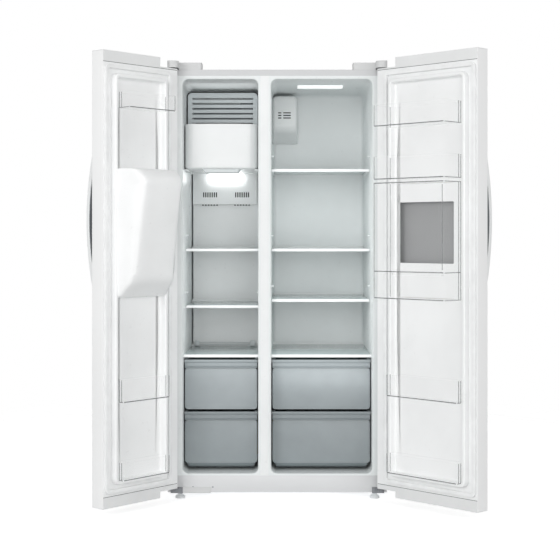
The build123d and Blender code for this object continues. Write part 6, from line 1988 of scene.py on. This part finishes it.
@dataclass
class FridgeDoor(Door):
    """The fresh-food door, with the home bar's opening, case, flap and outer door."""

    stop: float = 5 * MM
    sleeve: float = 4 * MM
    cove: float = 9 * MM
    leaf_gap: float = 2 * MM
    leaf_pin: float = 5.5 * MM
    tray: float = 104 * MM
    title = "fridge door"

    def case_edge_shades(self) -> list[Surface]:
        """Dark strips painted as shade along the home bar's case: foot, tray line, head and posts.

        Returns:
            The edges, drawn along, inward and up.
        """
        box = node_box("bar_case", self.standing)
        levels = (box.low[2], box.low[2] + self.tray, box.high[2] - 4 * MM)
        parts = [self.edge_rail(box, z) for z in levels] + self.edge_posts(box)
        parts += [self.edge_return(box, z) for z in levels]
        inset, lowest, highest = 14 * MM, levels[1] + 12 * MM, box.high[2] - 14 * MM
        parts.append(self.edge_post(box.high[0] - inset, box.high[1] - 6 * MM, lowest, highest))
        return parts

    def build(self) -> None:
        """Build and dress the fresh-food door."""
        self.build_common()
        leaf = node_box("bar_door", self.facing)
        gap, pin = self.leaf_gap, self.leaf_pin
        s0, s1 = leaf.low[0] + pin - gap, leaf.high[0] - pin + gap
        hole = np.array([s0, s1, leaf.low[1] - gap, leaf.high[1] + gap])
        inner, seat, stop = self.inner, leaf.high[2] + gap, self.stop
        face = self.skin.low[2] + 1.0 * MM
        lining = [(-stop, inner), (-stop, seat), (0.0, seat), (0.0, face)]
        lining += [(self.sleeve, face), (self.sleeve, inner - self.plate)]
        liner = [self.liner_shell(hole, lining)]
        node, slot = "fridge_door_liner", "white_liner"
        self.part("fridge_door_inner", liner, Look.DOOR_LINER, slot, (node,), self.facing)
        near, far, set_in = 0.1 * MM, 1.3 * MM, 0.4 * MM
        top, foot = inner - set_in, seat + set_in
        seal = np.array([[near, top], [near, foot], [far, foot], [far, top]])
        seal[:, 0] = -stop - seal[:, 0]
        ring = rounded_rings(round_rows(hole, seal, self.hole_round), 7, 2)
        throat, slot = [lofted(ring, looped=True)], "dark_grey_plastic"
        self.part("bar_throat_seal", throat, Look.DARK_PLASTIC, slot, (), self.facing)
        edges, clear = self.case_edge_shades(), "clear_plastic"
        # dark strips painted as shade on the bar case's edges
        self.part("bar_case_edges", edges, Look.CLEAR_EDGE_SHADE, clear, (), self.standing)
        self.soften("bar_case", 1.2 * MM, Look.CLEAR, clear)
        self.soften("bar_flap", 0.8 * MM, Look.CLEAR, clear)
        self.soften("bar_door", 1.0 * MM, Look.BAR_PLASTIC, slot)


# ---------------------------------------------------------------- studio
@dataclass(frozen=True)
class SoftLamp:
    """A soft lamp: where it hangs, what it faces, its width and height, and its power."""

    name: str
    at: tuple[float, float, float]
    aim: tuple[float, float, float]
    size: tuple[float, float]
    power: float


LAMPS = (
    SoftLamp("key_lamp", (-3.4, -5.4, 2.3), (0.0, 0.0, 0.9), (2.4, 2.4), 112.0),
    SoftLamp("front_lamp", (0.4, -7.4, 1.7), (0.0, 0.0, 0.9), (4.0, 4.0), 103.0),
    SoftLamp("right_lamp", (3.6, -4.6, 1.8), (-0.4, -0.5, 0.9), (2.4, 2.4), 48.0),
    SoftLamp("freezer_fill", (-0.2326, -0.3265, 0.88), (-0.2326, 0.0, 0.88), (0.29, 0.68), 0.44),
    SoftLamp("freezer_ceiling_fill", (-0.2326, -0.08, 1.69), (-0.2326, -0.08, 1.716), (0.2, 0.28), 0.09),
    SoftLamp("fridge_fill", (0.1804, -0.3265, 0.96), (0.1804, 0.0, 0.96), (0.39, 1.0), 0.82),
    SoftLamp("fridge_side_fill", (-0.005, -0.16, 1.04), (0.37, -0.16, 1.04), (0.22, 0.9), 0.38),
)


@dataclass
class Studio:
    """Pale floor, soft lamps and the camera."""

    eye: tuple[float, float, float] = (0.0375, -5.6224, 1.0789)
    lens: float = 83.456
    shift: tuple[float, float] = (-0.01179, -0.0796)
    floor_size: float = 14.0
    floor_lift: float = 0.66
    floor_fade: tuple[float, float] = (1.3, 3.2)
    floor_tones: tuple[tuple, tuple] = (tone(206, 206, 206), tone(210, 210, 210))
    world_light: float = 0.46

    def floor(self) -> bpy.types.Object:
        """A flat floor whose far rim fades into the white backdrop.

        Returns:
            The floor.
        """
        half = self.floor_size / 2
        grid = np.linspace(-half, half, 9)
        x, y = np.meshgrid(grid, grid, indexing="ij")
        points = np.stack([x, y, np.zeros_like(x)], axis=-1).reshape(-1, 3)
        row, column = np.meshgrid(np.arange(8), np.arange(8), indexing="ij")
        corner = (row * 9 + column).reshape(-1, 1)
        faces = corner + np.array([[0, 9, 10, 1]])
        mesh = bpy.data.meshes.new("floor")
        mesh.from_pydata(points.tolist(), [], faces.tolist())
        piece = bpy.data.objects.new("floor", mesh)
        bpy.context.scene.collection.objects.link(piece)
        mesh.materials.append(self.floor_material())
        return piece

    def floor_material(self) -> bpy.types.Material:
        """Pale floor that lifts to white for the eye, keeps its shadows and fades far away.

        Returns:
            The finished material.
        """
        shader = Shader("pale_floor")
        shader.feed("Base Color", shader.blend(shader.noise(2.0, 3.0), *self.floor_tones))
        shader.set("Roughness", 0.9)
        ray = shader.add("LightPath").outputs
        seen = shader.larger(ray["Is Camera Ray"], ray["Is Glossy Ray"])
        none = shader.add("Emission", Strength=0.0)
        glow = shader.add("Emission", Strength=self.floor_lift)
        both = shader.add("AddShader")
        shader.links.new(shader.main.outputs[0], both.inputs[0])
        shader.links.new(shader.between(seen, none, glow).outputs[0], both.inputs[1])
        length = shader.add("VectorMath")
        length.operation = "LENGTH"
        shader.links.new(shader.place, length.inputs[0])
        start, end = self.floor_fade
        fade = shader.add("MapRange", From_Min=start, From_Max=end)
        fade.interpolation_type = "SMOOTHSTEP"
        shader.links.new(length.outputs["Value"], fade.inputs["Value"])
        final = shader.between(fade.outputs[0], both, shader.add("BsdfTransparent"))
        shader.links.new(final.outputs[0], shader.output.inputs[0])
        return shader.material

    def world(self) -> None:
        """White backdrop for the eye and for reflections, softer light for the object."""
        world = bpy.data.worlds.new("backdrop")
        bpy.context.scene.world = world
        world.use_nodes = True
        wiring = Wiring(world.node_tree)
        white = (1, 1, 1, 1)
        seen = wiring.add("Background", Color=white, Strength=1.0)
        light = wiring.add("Background", Color=white, Strength=self.world_light)
        ray = wiring.add("LightPath").outputs
        direct = wiring.larger(ray["Is Camera Ray"], ray["Is Transmission Ray"])
        any_ray = wiring.larger(direct, ray["Is Glossy Ray"])
        mix = wiring.between(any_ray, light, seen)
        wiring.links.new(mix.outputs[0], wiring.add("OutputWorld").inputs[0])

    def lamp(self, lamp: SoftLamp) -> None:
        """Hang one lamp.

        Args:
            lamp: the lamp's place, aim, size and power.
        """
        data = bpy.data.lights.new(lamp.name, "AREA")
        data.shape = "RECTANGLE"
        data.size, data.size_y = lamp.size
        data.energy = lamp.power
        piece = bpy.data.objects.new(lamp.name, data)
        across, back, up = np.array(lamp.aim) - np.array(lamp.at)
        pitch = QUARTER + math.atan2(up, math.hypot(across, back))
        piece.location = lamp.at
        piece.rotation_euler = (pitch, 0.0, math.atan2(back, across) - QUARTER)
        piece.visible_camera = False
        bpy.context.scene.collection.objects.link(piece)

    def camera(self) -> None:
        """The camera: level, looking straight back."""
        data = bpy.data.cameras.new("camera")
        data.lens = self.lens
        data.sensor_width = 36.0
        data.shift_x, data.shift_y = self.shift
        data.clip_end = 60.0
        camera = bpy.data.objects.new("camera", data)
        camera.location = self.eye
        camera.rotation_euler = (QUARTER, 0.0, 0.0)
        bpy.context.scene.collection.objects.link(camera)
        bpy.context.scene.camera = camera

    def build(self) -> None:
        """Set the floor, the backdrop, the lamps and the camera."""
        bpy.context.scene.view_settings.view_transform = "Standard"
        self.floor()
        self.world()
        for lamp in LAMPS:
            self.lamp(lamp)
        self.camera()
        LOG.info("studio: floor, backdrop, %d lamps and camera", len(LAMPS))


def main() -> None:
    """Build every assembly in order."""
    logging.basicConfig(level=logging.INFO, format="%(name)s: %(message)s")
    palette = Palette()
    Studio().build()
    CabinetShell(palette).build()
    freezer_shelves = ("freezer_shelf_1", "freezer_shelf_2")
    fridge_shelves = ("fridge_shelf_1", "fridge_shelf_2", "fridge_shelf_3")
    freezer_drawers = ("freezer_drawer_1", "freezer_drawer_2")
    crispers = ("crisper_1", "crisper_2")
    freezer = room_of("freezer", "freezer_drawer_cover", "freezer_drawer_2")
    fridge = room_of("fridge", "crisper_cover", "crisper_2")
    CompartmentLiner(palette, freezer, freezer_shelves, "freezer_drawer_cover", freezer_drawers).build()
    CompartmentLiner(palette, fridge, fridge_shelves, "crisper_cover", crispers).build()
    for node in (*freezer_shelves, *fridge_shelves, "freezer_drawer_cover", "crisper_cover"):
        Shelf(palette, node).build()
    # the upper crisper takes a darker copy of the smoke: painted shade
    for (upper, lower), look in ((freezer_drawers, Look.SMOKE), (crispers, Look.SMOKE_WIDE_SHADED)):
        Drawer(palette, upper, look=look).build()
        # the lower drawers take the darker copy of the smoke: painted shade
        Drawer(palette, lower, tuck=18.0 * MM, look=Look.SMOKE_LOW_SHADED).build()
    IceSystem(palette).build()
    MachineBay(palette).build()
    FreezerDoor(palette, "freezer", -1).build()
    FridgeDoor(palette, "fridge", 1).build()


if __name__ == "__main__":
    main()
